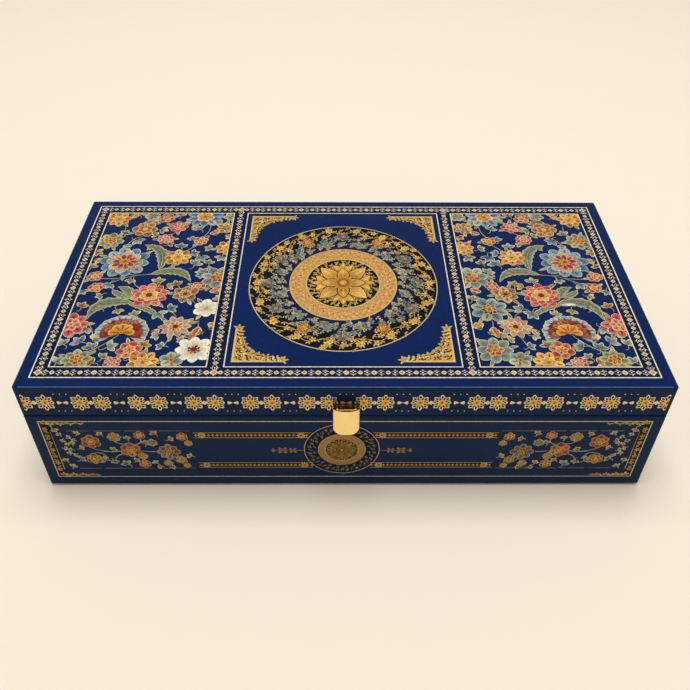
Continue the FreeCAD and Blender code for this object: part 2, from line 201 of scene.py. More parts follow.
surface(tree, {"Base Color": tone, "Roughness": 0.95, "Specular IOR Level": 0.1})
paper_mesh.materials.append(paper_stuff)
print("paper floor of", len(paper_mesh.polygons), "faces")

# %% Lamps and world
# name, place in metres, side of the square lamp in metres, power in watts
LAMPS = [
    ("soft_box", (0.0, 0.08, 2.2), 1.2, 32.0),
    ("front_fill", (-0.6, -1.9, 1.6), 1.6, 0.8),
]
for name, lamp_place, side, watts in LAMPS:
    lamp = bpy.data.lights.new(name, "AREA")
    lamp.size, lamp.energy = side, watts
    towards = -np.array(lamp_place) / np.linalg.norm(lamp_place)
    sideways = np.cross(towards, [0.0, 0.0, 1.0])
    sideways /= np.linalg.norm(sideways)
    placed_at(bpy.data.objects.new(name, lamp), (sideways, np.cross(sideways, towards), -towards), lamp_place)

world = bpy.data.worlds.new("studio")
world.use_nodes = True
world.node_tree.nodes["Background"].inputs["Color"].default_value = rgba("#FFFDFA")
world.node_tree.nodes["Background"].inputs["Strength"].default_value = 0.36
bpy.context.scene.world = world
print("lamps:", [lamp[0] for lamp in LAMPS])

# %% [markdown]
# ## Navy lacquer
# Every board wears coloured lacquer, brushed on and rubbed down. A flat blue would look like plastic.
# The eye reads lacquer by a little depth in the colour, by slow waves that the brush leaves, and by a satin
# gloss that is not quite even. Three noises of different sizes give these, each from a size in millimetres.
# The sides take a darker blue than the lid's top, painted shade for the lamp above; a step in height tells
# them apart.

# %% Navy lacquer
top_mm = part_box("lid_top_panel")[1].z / MM
lacquer, tree, place = new_material("navy_lacquer")
cloud, fleck, wave = (noise(tree, place, *sizes) for sizes in ((70, 3.0), (1.6, 2.0), (9, 2.0)))
level = add(tree, "ShaderNodeSeparateXYZ", {"Vector": place}).outputs["Z"]
on_top = spread(tree, level, 0.0, 1.0, (top_mm - 0.5) * MM, (top_mm - 0.1) * MM)
# Painted shade: everything below the lid's top gets this darker, less blue tone than the top.
shaded_side_tone = blend(tree, cloud, rgba("#0A2040"), rgba("#10274A"))
top_tone = blend(tree, cloud, rgba("#09204C"), rgba("#112758"))
grain = spread(tree, fleck, 0.88, 1.1, NOISE_LOW, NOISE_HIGH)
skin = relief(tree, wave, 0.12, 0.1)
surface(tree, {
    "Base Color": blend(tree, 1.0, blend(tree, on_top, shaded_side_tone, top_tone), grain, "MULTIPLY"),
    "Roughness": spread(tree, cloud, 0.18, 0.28), "Specular IOR Level": 0.06,
    "Normal": relief(tree, fleck, 0.05, 0.03, Normal=skin)})
print("material:", lacquer.name)

# %% [markdown]
# ## Brass
# The clasp and hinges are polished sheet brass: a bright yellow mirror that is never perfect. Very fine
# scratches run one way and soften the reflection, and handling leaves faint duller clouds. The scratches
# are a noise pressed flat along one axis, drawn wider than real ones so that they show. The screws and
# the parts inside the clasp are turned and left unpolished, so they are browner and rougher.

# %% Brass
def brass(name, bright, dull, smooth, rough, scratch_mm):
    """Metal whose colour and roughness both follow a slow cloud, with scratches across it."""
    made, tree, place = new_material(name)
    cloud = noise(tree, place, 6, 2.0)
    long_way = add(tree, "ShaderNodeMapping", {"Vector": place, "Scale": (0.04, 1.0, 1.0)}).outputs["Vector"]
    surface(tree, {"Base Color": blend(tree, cloud, rgba(bright), rgba(dull)), "Metallic": 1.0,
                   "Roughness": spread(tree, cloud, smooth, rough),
                   "Normal": relief(tree, noise(tree, long_way, scratch_mm, 2.0), 0.06, 0.02)})
    return made


polished_brass = brass("polished_brass", "#FFE4A0", "#F8D78C", smooth=0.10, rough=0.18, scratch_mm=0.25)
turned_brass = brass("turned_brass", "#B88A3E", "#8E6A2E", smooth=0.32, rough=0.46, scratch_mm=0.12)
print("materials:", polished_brass.name, turned_brass.name)

# %% [markdown]
# ## Velvet and felt
# The lining boards are covered in cotton velvet, whose upright pile glows at grazing angles and is brushed
# into lighter and darker patches: sheen and a slow noise give both. The foot sheet is pressed wool felt,
# with no pile, only a tangle of short fibres, so its noise is finer and its sheen weak.

# %% Velvet and felt
def cloth(name, low, high, patch_mm, fibre_mm, sheen, bump_mm):
    """Cloth whose tone follows slow patches times a fine fibre noise, which also roughens the surface."""
    made, tree, place = new_material(name)
    fibre = noise(tree, place, fibre_mm, 3.0)
    tone = blend(tree, noise(tree, place, patch_mm, 3.0), rgba(low), rgba(high))
    speck = spread(tree, fibre, 0.7, 1.2, NOISE_LOW, NOISE_HIGH)
    surface(tree, {
        "Base Color": blend(tree, 1.0, tone, speck, "MULTIPLY"), "Roughness": 0.92,
        "Normal": relief(tree, fibre, 0.5, bump_mm), "Specular IOR Level": 0.15,
        "Sheen Weight": sheen, "Sheen Roughness": 0.35, "Sheen Tint": rgba(high)})
    return made


velvet = cloth("cotton_velvet", "#16234E", "#24386F", patch_mm=22, fibre_mm=0.9, sheen=0.7, bump_mm=0.15)
felt = cloth("wool_felt", "#1B2236", "#2A3350", patch_mm=9, fibre_mm=0.6, sheen=0.15, bump_mm=0.2)
print("materials:", velvet.name, felt.name)

# %% [markdown]
# ## Finish on the CAD pieces
# Each CAD node keeps its shape and takes one finish, chosen by what its name says it is. The nodes stay
# where the CAD put them, so only their material changes.

# %% Assign the finishes
FINISHES = [("screw", turned_brass), ("clasp_pin", turned_brass), ("clasp_bracket", turned_brass),
            ("hinge", polished_brass), ("clasp", polished_brass), ("lining", velvet), ("felt", felt),
            ("", lacquer)]
for name, node in nodes.items():
    finish = next(stuff for word, stuff in FINISHES if word in name)
    node.data.materials.clear()
    node.data.materials.append(finish)
print("finished", len(nodes), "CAD nodes")

# %% [markdown]
# ## Paint and gold
# The ornament is opaque gouache and shell gold, gold powder bound in gum. Both take their colour from an
# attribute that the motifs carry, so two materials serve every flower. Gouache is chalky and slightly
# mottled by the brush. Shell gold is metal grain in a matt binder: bright where light strikes it, with worn
# and thin places. The grain of both is drawn coarser than the real powder so that it shows.

# %% Paint materials
def paint(name, low, high, metallic, roughness, level, fleck_mm, strength):
    """Colour from the attribute times a brush mottle between low and high."""
    made, tree, place = new_material(name)
    tint = add(tree, "ShaderNodeAttribute", attribute_name="paint").outputs["Color"]
    fleck = noise(tree, place, fleck_mm, 3.0)
    mottle = spread(tree, fleck, low, high, NOISE_LOW, NOISE_HIGH)
    surface(tree, {"Base Color": blend(tree, 1.0, tint, mottle, "MULTIPLY"), "Metallic": metallic,
                   "Roughness": roughness, "Specular IOR Level": level,
                   "Normal": relief(tree, fleck, strength, 0.05)})
    return made


gouache = paint("gouache", low=0.7, high=1.24, metallic=0.0, roughness=0.6, level=0.05, fleck_mm=1.1,
                strength=0.2)
shell_gold = paint("shell_gold", low=0.74, high=1.14, metallic=0.75, roughness=0.4, level=0.4, fleck_mm=0.9,
                   strength=0.35)
print("materials:", gouache.name, shell_gold.name)

# %% [markdown]
# ## A painting is a stack of grids
# A petal, a leaf, a line and a ring are all the same thing: a small grid of points whose two parameters run
# along and across the stroke. The painting keeps these grids coat by coat. When it is made a mesh, the
# coats are sorted from lowest to highest and lifted by the thickness of paint, anything outside the panel
# is pressed onto its edge and dropped, and all grids become one piece with two materials.

# %% Painting
COAT = 0.02    # mm, one coat of paint
SLIVER = 1e-5  # square mm, smaller triangles are dropped


class Painting:
    """Grids of paint on one flat face, in millimetres to the right (u) and up (v) on that face."""

    def __init__(self, limits=None, fade=0.0, ground="navy"):
        """No motif crosses the limits (low u, high u, low v, high v); fade sinks the colours into the
        ground's colour."""
        self.limits, self.fade, self.ground, self.grids = limits, fade, ground, []

    def lay(self, points, colours, coat, gold=False, crown=0.0):
        """Keeps grids of shape (..., n, m, 2), with a colour and a height above the coat for each point."""
        points = np.asarray(points, float)
        points = points.reshape(-1, *points.shape[-3:])
        colours = np.broadcast_to(mixed(colours, self.ground, self.fade), (*points.shape[:3], 3))
        heights = np.broadcast_to((coat + 1) * COAT + crown, points.shape[:3])
        index = np.arange(heights.size).reshape(heights.shape)
        a, b, c, d = index[:, :-1, :-1], index[:, 1:, :-1], index[:, 1:, 1:], index[:, :-1, 1:]
        faces = np.concatenate([np.stack(three, -1).reshape(-1, 3) for three in ((a, b, c), (a, c, d))])
        self.grids.append((coat, points.reshape(-1, 2), heights.ravel(), colours.reshape(-1, 3), faces, gold))

    def arrays(self):
        """All grids as one set of points, heights, colours, faces and gold marks, lowest coat first."""
        grids = sorted(self.grids, key=lambda grid: grid[0])
        starts = np.cumsum([0] + [len(grid[1]) for grid in grids[:-1]])
        points, heights, colours = (np.concatenate([grid[i] for grid in grids]) for i in (1, 2, 3))
        faces = np.concatenate([grid[4] + start for grid, start in zip(grids, starts)])
        gold = np.concatenate([np.full(len(grid[4]), grid[5]) for grid in grids])
        if self.limits:
            low_u, high_u, low_v, high_v = self.limits
            points = np.clip(points, (low_u, low_v), (high_u, high_v))
        first, second, third = (points[faces[:, i]] for i in range(3))
        ahead, aside = second - first, third - first
        area = (ahead[:, 0] * aside[:, 1] - ahead[:, 1] * aside[:, 0]) / 2
        faces = np.where(area[:, None] < 0, faces[:, [0, 2, 1]], faces)
        kept = np.abs(area) > SLIVER
        faces, gold = faces[kept], gold[kept]
        used, faces = np.unique(faces, return_inverse=True)
        return points[used], heights[used], colours[used], faces.reshape(-1, 3), gold


def face_place(origin, right, up):
    """Maps (u, v, height) on a face to origin + u right + v up + height out, where out is right x up."""
    axes = np.array([right, up, np.cross(right, up)], float)
    return lambda points, heights: origin + np.column_stack([points, heights]) * MM @ axes


def painted_piece(name, painting, body, place):
    """One mesh from a painting, with its colours as an attribute and its flat layout as the UV map."""
    points, heights, colours, faces, gold = painting.arrays()
    mesh = bpy.data.meshes.new(name)
    mesh.from_pydata(place(points, heights).tolist(), [], faces.tolist())
    mesh.polygons.foreach_set("use_smooth", np.ones(len(faces), bool))
    mesh.polygons.foreach_set("material_index", gold.astype(np.int32))
    colours = np.column_stack([colours, np.ones(len(colours))]).astype(np.float32)
    mesh.attributes.new("paint", "FLOAT_COLOR", "POINT").data.foreach_set("color", colours.ravel())
    low = points.min(0)
    layout = (points - low) / (points.max(0) - low).max()
    mesh.uv_layers.new(name="OFBake").data.foreach_set("uv", layout[faces.ravel()].astype(np.float32).ravel())
    mesh.materials.append(gouache)
    mesh.materials.append(shell_gold)
    piece = bpy.data.objects.new(name, mesh)
    bpy.context.scene.collection.objects.link(piece)
    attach(piece, body)
    print(name, "has", len(faces), "triangles")


print("one coat is", COAT, "mm")

# %% [markdown]
# ## Brush strokes
# Five strokes make the whole ornament. Petals stand round a centre and serve for flowers, stars, buds and
# fans. A ribbon is a line of changing width along a path. A disc and a ring are polar grids. A frame is a
# mitred rectangle. Most petals get a wider pale petal under them, which shows as a fine outline, as the
# painter's last line does.

# %% Palette
TINT = {name: linear(shade) for name, shade in dict(
    line="#EBDDB4", gold="#ECB24C", bright="#FBDD92", bronze="#9C6D2C", cream="#EFE0BC", ivory="#E9DFC6",
    white="#FFFBEF", straw="#E8CB78", amber="#E2962F", orange="#CC6B20", peach="#EBA873", salmon="#CE5B45",
    brick="#9C3426", rust="#8C431C", umber="#553311", tan="#B58650", crimson="#9A1F37", rose="#D84C62",
    blush="#E38C88", plum="#7A2748", maroon="#521724", lavender="#8E86A0", sky="#5790B6", blue="#1D4A8C",
    teal="#2D6476", mist="#9BB0AC", slate="#475C66", haze="#6A9AC0", dove="#7C98A2", sand="#C8A488",
    moss="#434F26", olive="#6C6E35", sage="#A0A684", ink="#0B1A3C", black="#10141D", navy="#0D2250",
    # edge_highlight is a painted highlight: the pale line on the lid's front bevel
    soil="#1B1710", apricot="#EDB264", steel="#7C8BB0", edge_highlight="#4A5C96").items()}
print(len(TINT), "tints")


def mixed(a, b, share):
    """Colour a at share 0 and b at share 1. A colour is a tint's name or linear RGB."""
    a, b = (TINT[c] if isinstance(c, str) else c for c in (a, b))
    return a * (1 - share) + b * share


def chance(phase):
    """A number from 0 to 1 that looks random and is the same in every run: the fraction that is left of
    a large number times sin(phase)."""
    return np.sin(phase) * 43758.5453 % 1


HASH_U, HASH_V, HASH_NUMBER = 12.9898, 78.233, 37.719  # how fast the phase grows with a place and a count

# %% Petals
# The outline of a petal is t^a (1 - t)^b, scaled to 1 at its widest: a rounds the root and b the tip.
ROUND, OGEE, POINT, LEAF, DROP = (0.8, 0.36), (0.85, 0.7), (0.7, 0.95), (0.6, 0.75), (1.4, 0.5)
OUTLINE_MM = 0.3
CROWN = 0.7 * COAT                                       # paint piles up along a petal's middle
EDGE_SHARE, MIDDLE_SHADE, ROOT_SHADE = 0.32, 0.16, 0.4   # edge colour at the sides, and two shadings
VEIN_WIDE, VEIN_LONG = 0.2, 0.82                         # shares of the petal
BRIGHT_RANGE, BRIGHT_DROP = 1.25, 0.7                    # how far brightness varies, times vary


def petals(art, centres, count, root, tip, half_width, inner, outer, coat, turn=0.0, arc=360.0, shape=ROUND,
           edge="straw", line="line", steps=7, gold=False, outline=OUTLINE_MM, vein=None, vary=0.0):
    """Petals round each centre. With t along a petal and s from -1 to 1 across it, a point is at distance
    root + (tip - root) t from the centre and s half_width outline(t) to the side; colour runs from inner
    to outer along t and towards edge at the sides, and is darkest at the root. Where vary is above 0, each
    petal has a brightness and a share of straw of its own, from a number worked out from its place."""
    centres = np.atleast_2d(np.asarray(centres, float))
    turn = np.radians(np.broadcast_to(turn, len(centres)))[:, None]
    share = np.arange(count) / (count if arc == 360 else max(count - 1, 1))
    angle = turn + np.radians(arc) * (share - (0 if arc == 360 else 0.5))
    t = ((1 - np.cos(np.pi * np.linspace(0, 1, steps))) / 2)[:, None]
    s = np.array([-1.0, 0.0, 1.0])[None]
    a, b = shape
    widest = a / (a + b)
    width = t ** a * (1 - t) ** b / (widest ** a * (1 - widest) ** b)

    def grid(extra, slim=1.0, short=1.0):
        along = root + (tip + extra - root) * short * t + 0 * s
        across = s * (half_width + extra) * slim * width
        cos, sin = np.cos(angle)[..., None, None], np.sin(angle)[..., None, None]
        return np.stack([along * cos - across * sin, along * sin + across * cos], -1) \
            + centres[:, None, None, None]

    crown = CROWN * (1 - np.abs(s)) * width
    if line:
        art.lay(grid(outline), TINT[line], coat)
        coat += 1
    far, aside = t[..., None], np.abs(s)[..., None]
    tone = mixed(mixed(inner, outer, far), edge, EDGE_SHARE * aside * far)
    tone = tone * (1 - MIDDLE_SHADE * (1 - aside)) * (1 - ROOT_SHADE * (1 - far ** 0.7))
    if vary:
        lot = chance(HASH_U * centres[:, :1] + HASH_V * centres[:, 1:] + HASH_NUMBER * np.arange(count)
                     + coat).reshape(-1, 1, 1, 1)
        other_lot = 7.13 * lot % 1
        tone = mixed(tone, "straw", vary * other_lot ** 2) * (1 + vary * (BRIGHT_RANGE * lot - BRIGHT_DROP))
    art.lay(grid(0.0), tone, coat, gold, crown)
    if vein:
        art.lay(grid(0.0, VEIN_WIDE, VEIN_LONG), TINT[vein], coat + 1, False, crown)


def leaflets(art, centres, count, root, tip, half_width, inner, outer, coat, turn=0.0, arc=360.0, steps=5,
             **more):
    """Small leaf-shaped petals without an outline."""
    petals(art, centres, count, root, tip, half_width, inner, outer, coat, turn, arc, LEAF, line=None,
           steps=steps, **more)


print("petal shapes:", ROUND, OGEE, POINT, LEAF, DROP)

# %% Discs, rings, ribbons and frames
def spokes(degrees):
    """Unit vectors in the given directions."""
    return np.column_stack([np.cos(np.radians(degrees)), np.sin(np.radians(degrees))])


def disc(art, centres, radius, inner, outer, coat, gold=False, steps=10):
    """Polar grid from the centre to radius, with its colour from inner to outer."""
    centres = np.atleast_2d(np.asarray(centres, float))[:, None, None]
    r = np.array([0.0, 0.55, 1.0])[:, None]
    points = r[..., None] * radius * spokes(np.linspace(0, 360, steps + 1))
    art.lay(centres + points, mixed(inner, outer, r[..., None]), coat, gold, 0.6 * COAT * (1 - r))


def ring_stroke(art, centre, low, high, inner, outer, coat, gold=False, steps=120):
    """Polar grid between two radii."""
    share = np.linspace(0, 1, 3)[:, None, None]
    points = (low + (high - low) * share) * spokes(np.linspace(0, 360, steps + 1)) + np.asarray(centre, float)
    art.lay(points, mixed(inner, outer, share), coat, gold)


def curve(points, steps=15):
    """Quadratic curve from the first point to the last, drawn towards the middle one."""
    a, b, c = np.asarray(points, float)
    t = np.linspace(0, 1, steps)[:, None]
    return a * (1 - t) ** 2 + 2 * b * t * (1 - t) + c * t ** 2


def sideways_of(path):
    """Unit vectors to the left of a path, at each of its points."""
    ahead = np.gradient(path, axis=0)
    return np.column_stack([-ahead[:, 1], ahead[:, 0]]) / np.linalg.norm(ahead, axis=1)[:, None]


def ribbon(art, path, half_width, colour, coat, gold=True, end=None):
    """Line of the path's points moved half_width to both sides; the width may change along it."""
    path = np.asarray(path, float)
    reach = np.broadcast_to(half_width, len(path))[:, None, None] * np.array([-1.0, 0.0, 1.0])[:, None]
    tone = mixed(colour, end or colour, np.linspace(0, 1, len(path))[:, None, None])
    art.lay(path[:, None] + sideways_of(path)[:, None] * reach, tone, coat, gold,
            0.6 * COAT * np.array([0.0, 1.0, 0.0]))


def frame_line(art, low_u, high_u, low_v, high_v, width, colour, coat, gold=True):
    """Mitred rectangular line that lies inside its limits."""
    corners = np.array([[0, 0], [1, 0], [1, 1], [0, 1], [0, 0]])
    outer = corners * [high_u - low_u, high_v - low_v] + [low_u, low_v]
    inner = outer + np.where(corners > 0, -width, width)
    art.lay(np.stack([outer, inner]), TINT[colour], coat, gold)


print("strokes ready")

# %% [markdown]
# ## Flowers and leaves
# Painted chintz flowers are rows of petals, one on another, round a small heart. Each kind is a short list of
# rows, so a new flower is a line in a table and not new geometry. The long leaves have a curved midrib, two
# halves of different green, and a saw edge. Sprigs and buds fill the gaps.

# %% Kinds of flower
# The heart's tint, then the rows: petals, root and tip as shares of the radius, inner, outer and vein tint,
# and the shape where it isn't OGEE.
FLOWERS = {
    "sky": ("amber", (10, .40, 1.0, "blue", "haze", "teal"), (8, .30, .72, "slate", "sage", "mist"),
        (10, .10, .54, "maroon", "rose", "plum")),
    "bluebell": ("amber", (10, .25, 1.0, "teal", "haze", "blue"), (6, .10, .50, "rust", "straw", "salmon")),
    "marigold": ("amber", (8, .15, 1.0, "orange", "amber", "rust"),
        (8, .08, .56, "orange", "straw", "amber")),
    "peony": ("crimson", (10, .30, 1.0, "crimson", "rose", "crimson"),
        (8, .20, .74, "crimson", "salmon", "rose"), (6, .05, .50, "orange", "straw", "amber")),
    "pink": ("straw", (8, .20, 1.0, "crimson", "rose", "plum"), (6, .10, .56, "rose", "blush", "crimson")),
    "ember": ("amber", (6, .15, 1.0, "brick", "salmon", "crimson"),
        (6, .08, .50, "salmon", "peach", "rust")),
    "star": ("umber", (6, .15, 1.0, "slate", "tan", "plum", POINT),
        (8, .10, .50, "rust", "amber", "umber")),
    "frost": ("amber", (8, .20, 1.0, "slate", "mist", "olive"),
        (6, .10, .50, "maroon", "salmon", "plum", POINT)),
    "haze": ("amber", (8, .20, 1.0, "slate", "dove", "teal"),
        (6, .10, .50, "brick", "salmon", "maroon", POINT)),
    "dusk": ("amber", (8, .25, 1.0, "slate", "lavender", "plum"),
        (8, .10, .50, "maroon", "rust", "black", POINT)),
    "brick": ("straw", (6, .15, 1.0, "maroon", "salmon", "crimson"),
        (6, .10, .50, "brick", "amber", "rust")),
    "wine": ("amber", (8, .25, 1.0, "slate", "mist", "teal"),
        (8, .10, .46, "maroon", "plum", "black", POINT)),
    "daisy": ("umber", (10, .25, 1.0, "lavender", "sand", "tan", POINT),
        (8, .10, .50, "orange", "peach", "brick")),
    "thistle": ("sage", (8, .15, 1.0, "orange", "tan", "rust"), (6, .10, .50, "moss", "olive", "moss")),
    "leafy": ("orange", (6, .10, 1.0, "slate", "mist", "olive")),
    "pansy": ("cream", (6, .20, 1.0, "brick", "tan", "rust"), (6, .10, .60, "umber", "amber", "rust")),
    "moss": ("amber", (8, .20, 1.0, "moss", "sage", "olive"), (6, .10, .50, "rust", "orange", "brick")),
    "pearl": ("plum", (8, .20, 1.0, "cream", "white", None), (8, .08, .36, "maroon", "plum", None)),
    "snow": ("straw", (6, .15, 1.0, "cream", "white", None)),
}
PETAL_FILL, PETAL_SHORTER = 0.7, 0.07    # half-width to a petal's part of the circle, loss of every second
HEART, SEED_RING = 0.17, 0.2             # shares of the radius


def flower(art, kind, u, v, radius, turn=90.0, coat=5, leaves=0, line="line"):
    """Rows of petals from the outside in. Every second petal is shorter and overlaps its neighbours."""
    heart, *rows = FLOWERS[kind]
    if leaves:
        petals(art, (u, v), leaves, 0.7 * radius, 1.05 * radius + 2.4, 0.9, "moss", "sage", coat - 3,
               turn + 31, shape=LEAF, outline=0.2, vary=0.4)
    for count, root, tip, inner, outer, vein, *shape in rows:
        for half in (0, 1):
            reach = tip * radius * (1 - PETAL_SHORTER * half)
            petals(art, (u, v), count // 2, root * radius, reach, PETAL_FILL * np.pi * reach / count, inner,
                   outer, coat, turn + 360 / count * half, shape=shape[0] if shape else OGEE, edge=outer,
                   line=line, vein=vein, outline=0.22, vary=0.1 if outer == "white" else 0.4)
            coat += 2
        coat += 1
        turn += 180 / count
    disc(art, (u, v), HEART * radius, "umber", heart, coat)
    seeds = np.array([u, v]) + SEED_RING * radius * spokes(np.arange(8) * 45)
    disc(art, seeds, 0.035 * radius + 0.08, "bright", "straw", coat, True, steps=6)


print("kinds of flower:", len(FLOWERS))

# %% Leaves, sprigs, buds and fans
LEAF_TEETH = 7


def saz_leaf(art, path, width, coat=2):
    """Two halves beside a curved midrib; half-width is width sin(pi t^0.8), times a saw tooth of t. A width
    below 0 makes the mirror image."""
    rib = curve(path, 4 * LEAF_TEETH + 1)
    side = sideways_of(rib) * np.sign(width)
    t = np.linspace(0, 1, len(rib))
    reach = abs(width) * np.sin(np.pi * t ** 0.8) * (1 + 0.4 * ((t * LEAF_TEETH) % 1 - 0.5)) + 0.02
    share = np.array([0.0, 0.5, 0.9])[:, None]
    for half, inner, outer in ((1, "olive", "sage"), (-1, "slate", "mist")):
        rim = side * (half * reach)[:, None]
        outline = rib + rim * (1 + OUTLINE_MM / (reach[:, None] + 0.3))
        art.lay(np.stack([rib, outline], 1), TINT["line"], coat, True)
        tone = mixed(mixed(inner, "moss", 0.6), outer, 0.8 * share ** 1.5)
        art.lay(rib[:, None] + rim[:, None] * share, tone, coat + 1)
        for tooth in range(4, len(rib) - 4, 4):
            vein = [rib[tooth], rib[tooth + 3] + 0.8 * rim[tooth + 3]]
            ribbon(art, vein, 0.1, "sage", coat + 2, False)
    ribbon(art, rib, 0.22 * (1.15 - t), "straw", coat + 2)


def stem(art, *points, coat=0, width=0.24):
    ribbon(art, curve(points), width, "sage", coat, end="line")


def sprig(art, u, v, size, turn, inner, outer, coat=2):
    """A stalk with a fan of three small leaves at its end."""
    foot, bend = np.array([u, v]) - size * spokes(np.array([turn, turn + np.degrees(0.6)]))
    stem(art, foot, bend, (u, v), coat=coat - 1, width=0.18)
    petals(art, (u, v), 3, 0.0, size, 0.26 * size, inner, outer, coat, turn, 120.0, LEAF, steps=6, vary=0.35)


def bud(art, u, v, size, turn, inner, outer, coat=3):
    """A closed flower: three petals on a leafy cup."""
    petals(art, (u, v), 3, -0.2 * size, size, 0.32 * size, inner, outer, coat, turn, 70.0, steps=6)
    petals(art, (u, v), 2, -0.4 * size, 0.55 * size, 0.2 * size, "moss", "sage", coat + 2, turn, 100.0, LEAF,
           steps=6)


def palmette(art, u, v, high, coat=4):
    """A fan flower: a scalloped rim, a dark body of small scales, and a bright heart of five lobes."""
    # petals, root, tip and half-width as shares of the height, tints, vein, arc, outline tint
    for count, root, tip, width, inner, outer, vein, arc, line in (
            (8, 0.40, 1.0, 0.16, "lavender", "mist", "slate", 225.0, "line"),
            (7, 0.40, 0.97, 0.16, "lavender", "mist", "slate", 193.0, "line"),
            (15, 0.0, 0.80, 0.12, "maroon", "maroon", None, 215.0, None),
            (10, 0.30, 0.79, 0.11, "maroon", "plum", "maroon", 212.0, "brick"),
            (9, 0.30, 0.68, 0.11, "maroon", "brick", "maroon", 196.0, "rust"),
            (3, 0.05, 0.47, 0.14, "orange", "amber", "rust", 180.0, "straw"),
            (2, 0.05, 0.48, 0.14, "orange", "amber", "rust", 80.0, "straw")):
        petals(art, (u, v), count, root * high, tip * high, width * high, inner, outer, coat, 90.0, arc,
               edge=outer, line=line, outline=0.25, vein=vein, vary=0.3)
        coat += 3
    disc(art, (u, v), 0.09 * high, "rust", "amber", coat)


print("leaves ready")

# %% [markdown]
# ## The faces of the chest
# A painting is flat, so each painted face needs an origin, a direction to the right and a direction up. All
# come from the boxes of the CAD boards, so the paint lies on the wood wherever the boards are.

# %% Faces
half_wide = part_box("base_right_wall")[1].x / MM
half_deep = -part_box("base_front_wall")[0].y / MM
seam_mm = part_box("base_front_wall")[1].z / MM
RIGHT, BACK, UP = np.eye(3)
FACES = {
    "top": face_place(UP * top_mm * MM, RIGHT, BACK),
    "front": face_place(-BACK * half_deep * MM, RIGHT, UP),
    "back": face_place(BACK * half_deep * MM, -RIGHT, UP),
    "left": face_place(-RIGHT * half_wide * MM, -BACK, UP),
    "right": face_place(RIGHT * half_wide * MM, BACK, UP),
}
HALF_LENGTH = {"front": half_wide, "back": half_wide, "left": half_deep, "right": half_deep}
EDGE_ROUND = 2.6  # mm, the boards' rounded arrises carry no paint
print("lid top at", round(top_mm, 1), "seam at", round(seam_mm, 1), "half sizes", round(half_wide, 1),
      round(half_deep, 1))

# %% [markdown]
# ## Borders on the lid
# Pale lines frame three panels on the lid, and bands of tiny florets run between the lines. A band is one row
# of repeats along a straight line, so all its florets are laid in a few calls: big ones, small ones midway,
# leaves on both sides and dots.

# %% Floret bands
FLORET_PITCH = 14.2  # mm


def floret_band(art, start, end, coat=2):
    """Repeats of floret, leaf, small floret, leaf along a line, with dots on both sides."""
    start, end = np.asarray(start, float), np.asarray(end, float)
    length = np.linalg.norm(end - start)
    ahead = (end - start) / length
    side = np.array([-ahead[1], ahead[0]])
    lean = np.degrees(np.arctan2(ahead[1], ahead[0]))
    count = int(round(length / FLORET_PITCH))
    step = length / count

    def spots(share, aside=0.0, last=0):
        return start + np.outer((np.arange(count + last) + share) * step, ahead) + aside * side

    for share, size in ((0, 1.8), (0.5, 1.55)):
        places = spots(share) if share else spots(0, 0, 1)[1:-1]
        leaflets(art, places, 4, 0.1, size, 0.4 * size, "straw", "ivory", coat + 1, lean)
        leaflets(art, places, 4, 0.1, 0.85 * size, 0.32 * size, "straw", "cream", coat + 2, lean + 45)
        for first, heart in enumerate(("umber", "amber", "salmon")):
            disc(art, places[first::3], 0.27 * size, heart, heart, coat + 3, steps=8)
    for share, way in ((0.19, 0), (0.31, 180), (0.69, 0), (0.81, 180)):
        for aside in (1.05, -1.05):
            swing = np.sign(aside) * (20 if way == 0 else -20)
            leaflets(art, spots(share, aside), 1, -1.0, 1.0, 0.36, "steel", "ivory", coat, lean + way + swing,
                     vary=0.6)
    for share, tint in ((0.25, "peach"), (0.75, "cream")):
        disc(art, spots(share), 0.45, tint, "white", coat, steps=6)
        for aside in (1.9, -1.9):
            disc(art, spots(share, aside), 0.32, "steel", "white", coat, steps=6)


def corner_floret(art, spots, coat=6):
    """A larger eight-petalled floret where bands meet."""
    leaflets(art, spots, 4, 0.4, 2.3, 0.8, "straw", "white", coat)
    leaflets(art, spots, 4, 0.4, 1.8, 0.7, "tan", "white", coat + 1, 45.0)
    disc(art, spots, 0.85, "amber", "salmon", coat + 2, steps=8)


print("florets every", FLORET_PITCH, "mm")

# %% Lid borders
LINE_X, LINE_Y = half_wide - 6.8, half_deep - 6.7      # outer line
PANEL_OUT, PANEL_IN, PANEL_Y = 155.4, 71.3, 73.4       # side panels
CENTRE_X, CENTRE_U = 62.8, -1.5                        # centre panel, which sits a little left of the middle
OUTER_LINE, INNER_LINE = 0.65, 0.6                     # widths of the lines
BAND_X, BAND_Y, DIVIDER_X = (LINE_X + PANEL_OUT) / 2, (LINE_Y + PANEL_Y) / 2, (PANEL_IN + CENTRE_X) / 2

borders = Painting()
frame_line(borders, -LINE_X, LINE_X, -LINE_Y, LINE_Y, LINE_X - PANEL_OUT, "ink", 0, False)
for sign in (-1, 1):
    low, high = sorted((CENTRE_U + sign * CENTRE_X, CENTRE_U + sign * PANEL_IN))
    borders.lay([[(low, -PANEL_Y), (high, -PANEL_Y)], [(low, PANEL_Y), (high, PANEL_Y)]], TINT["ink"], 0)
    low, high = sorted((CENTRE_U + sign * PANEL_IN, sign * PANEL_OUT))
    frame_line(borders, low, high, -PANEL_Y, PANEL_Y, INNER_LINE, "cream", 2, False)
    for u in (sign * BAND_X, CENTRE_U + sign * DIVIDER_X):
        floret_band(borders, (u, -BAND_Y), (u, BAND_Y))
    floret_band(borders, (-BAND_X, sign * BAND_Y), (BAND_X, sign * BAND_Y))
frame_line(borders, -LINE_X, LINE_X, -LINE_Y, LINE_Y, OUTER_LINE, "ivory", 2, False)
frame_line(borders, CENTRE_U - CENTRE_X, CENTRE_U + CENTRE_X, -PANEL_Y, PANEL_Y, INNER_LINE, "ivory", 2,
           False)
corner_floret(borders, [(x, y) for x in (-BAND_X, CENTRE_U - DIVIDER_X, CENTRE_U + DIVIDER_X, BAND_X)
                        for y in (-BAND_Y, BAND_Y)])
painted_piece("paint_lid_borders", borders, "lid", FACES["top"])

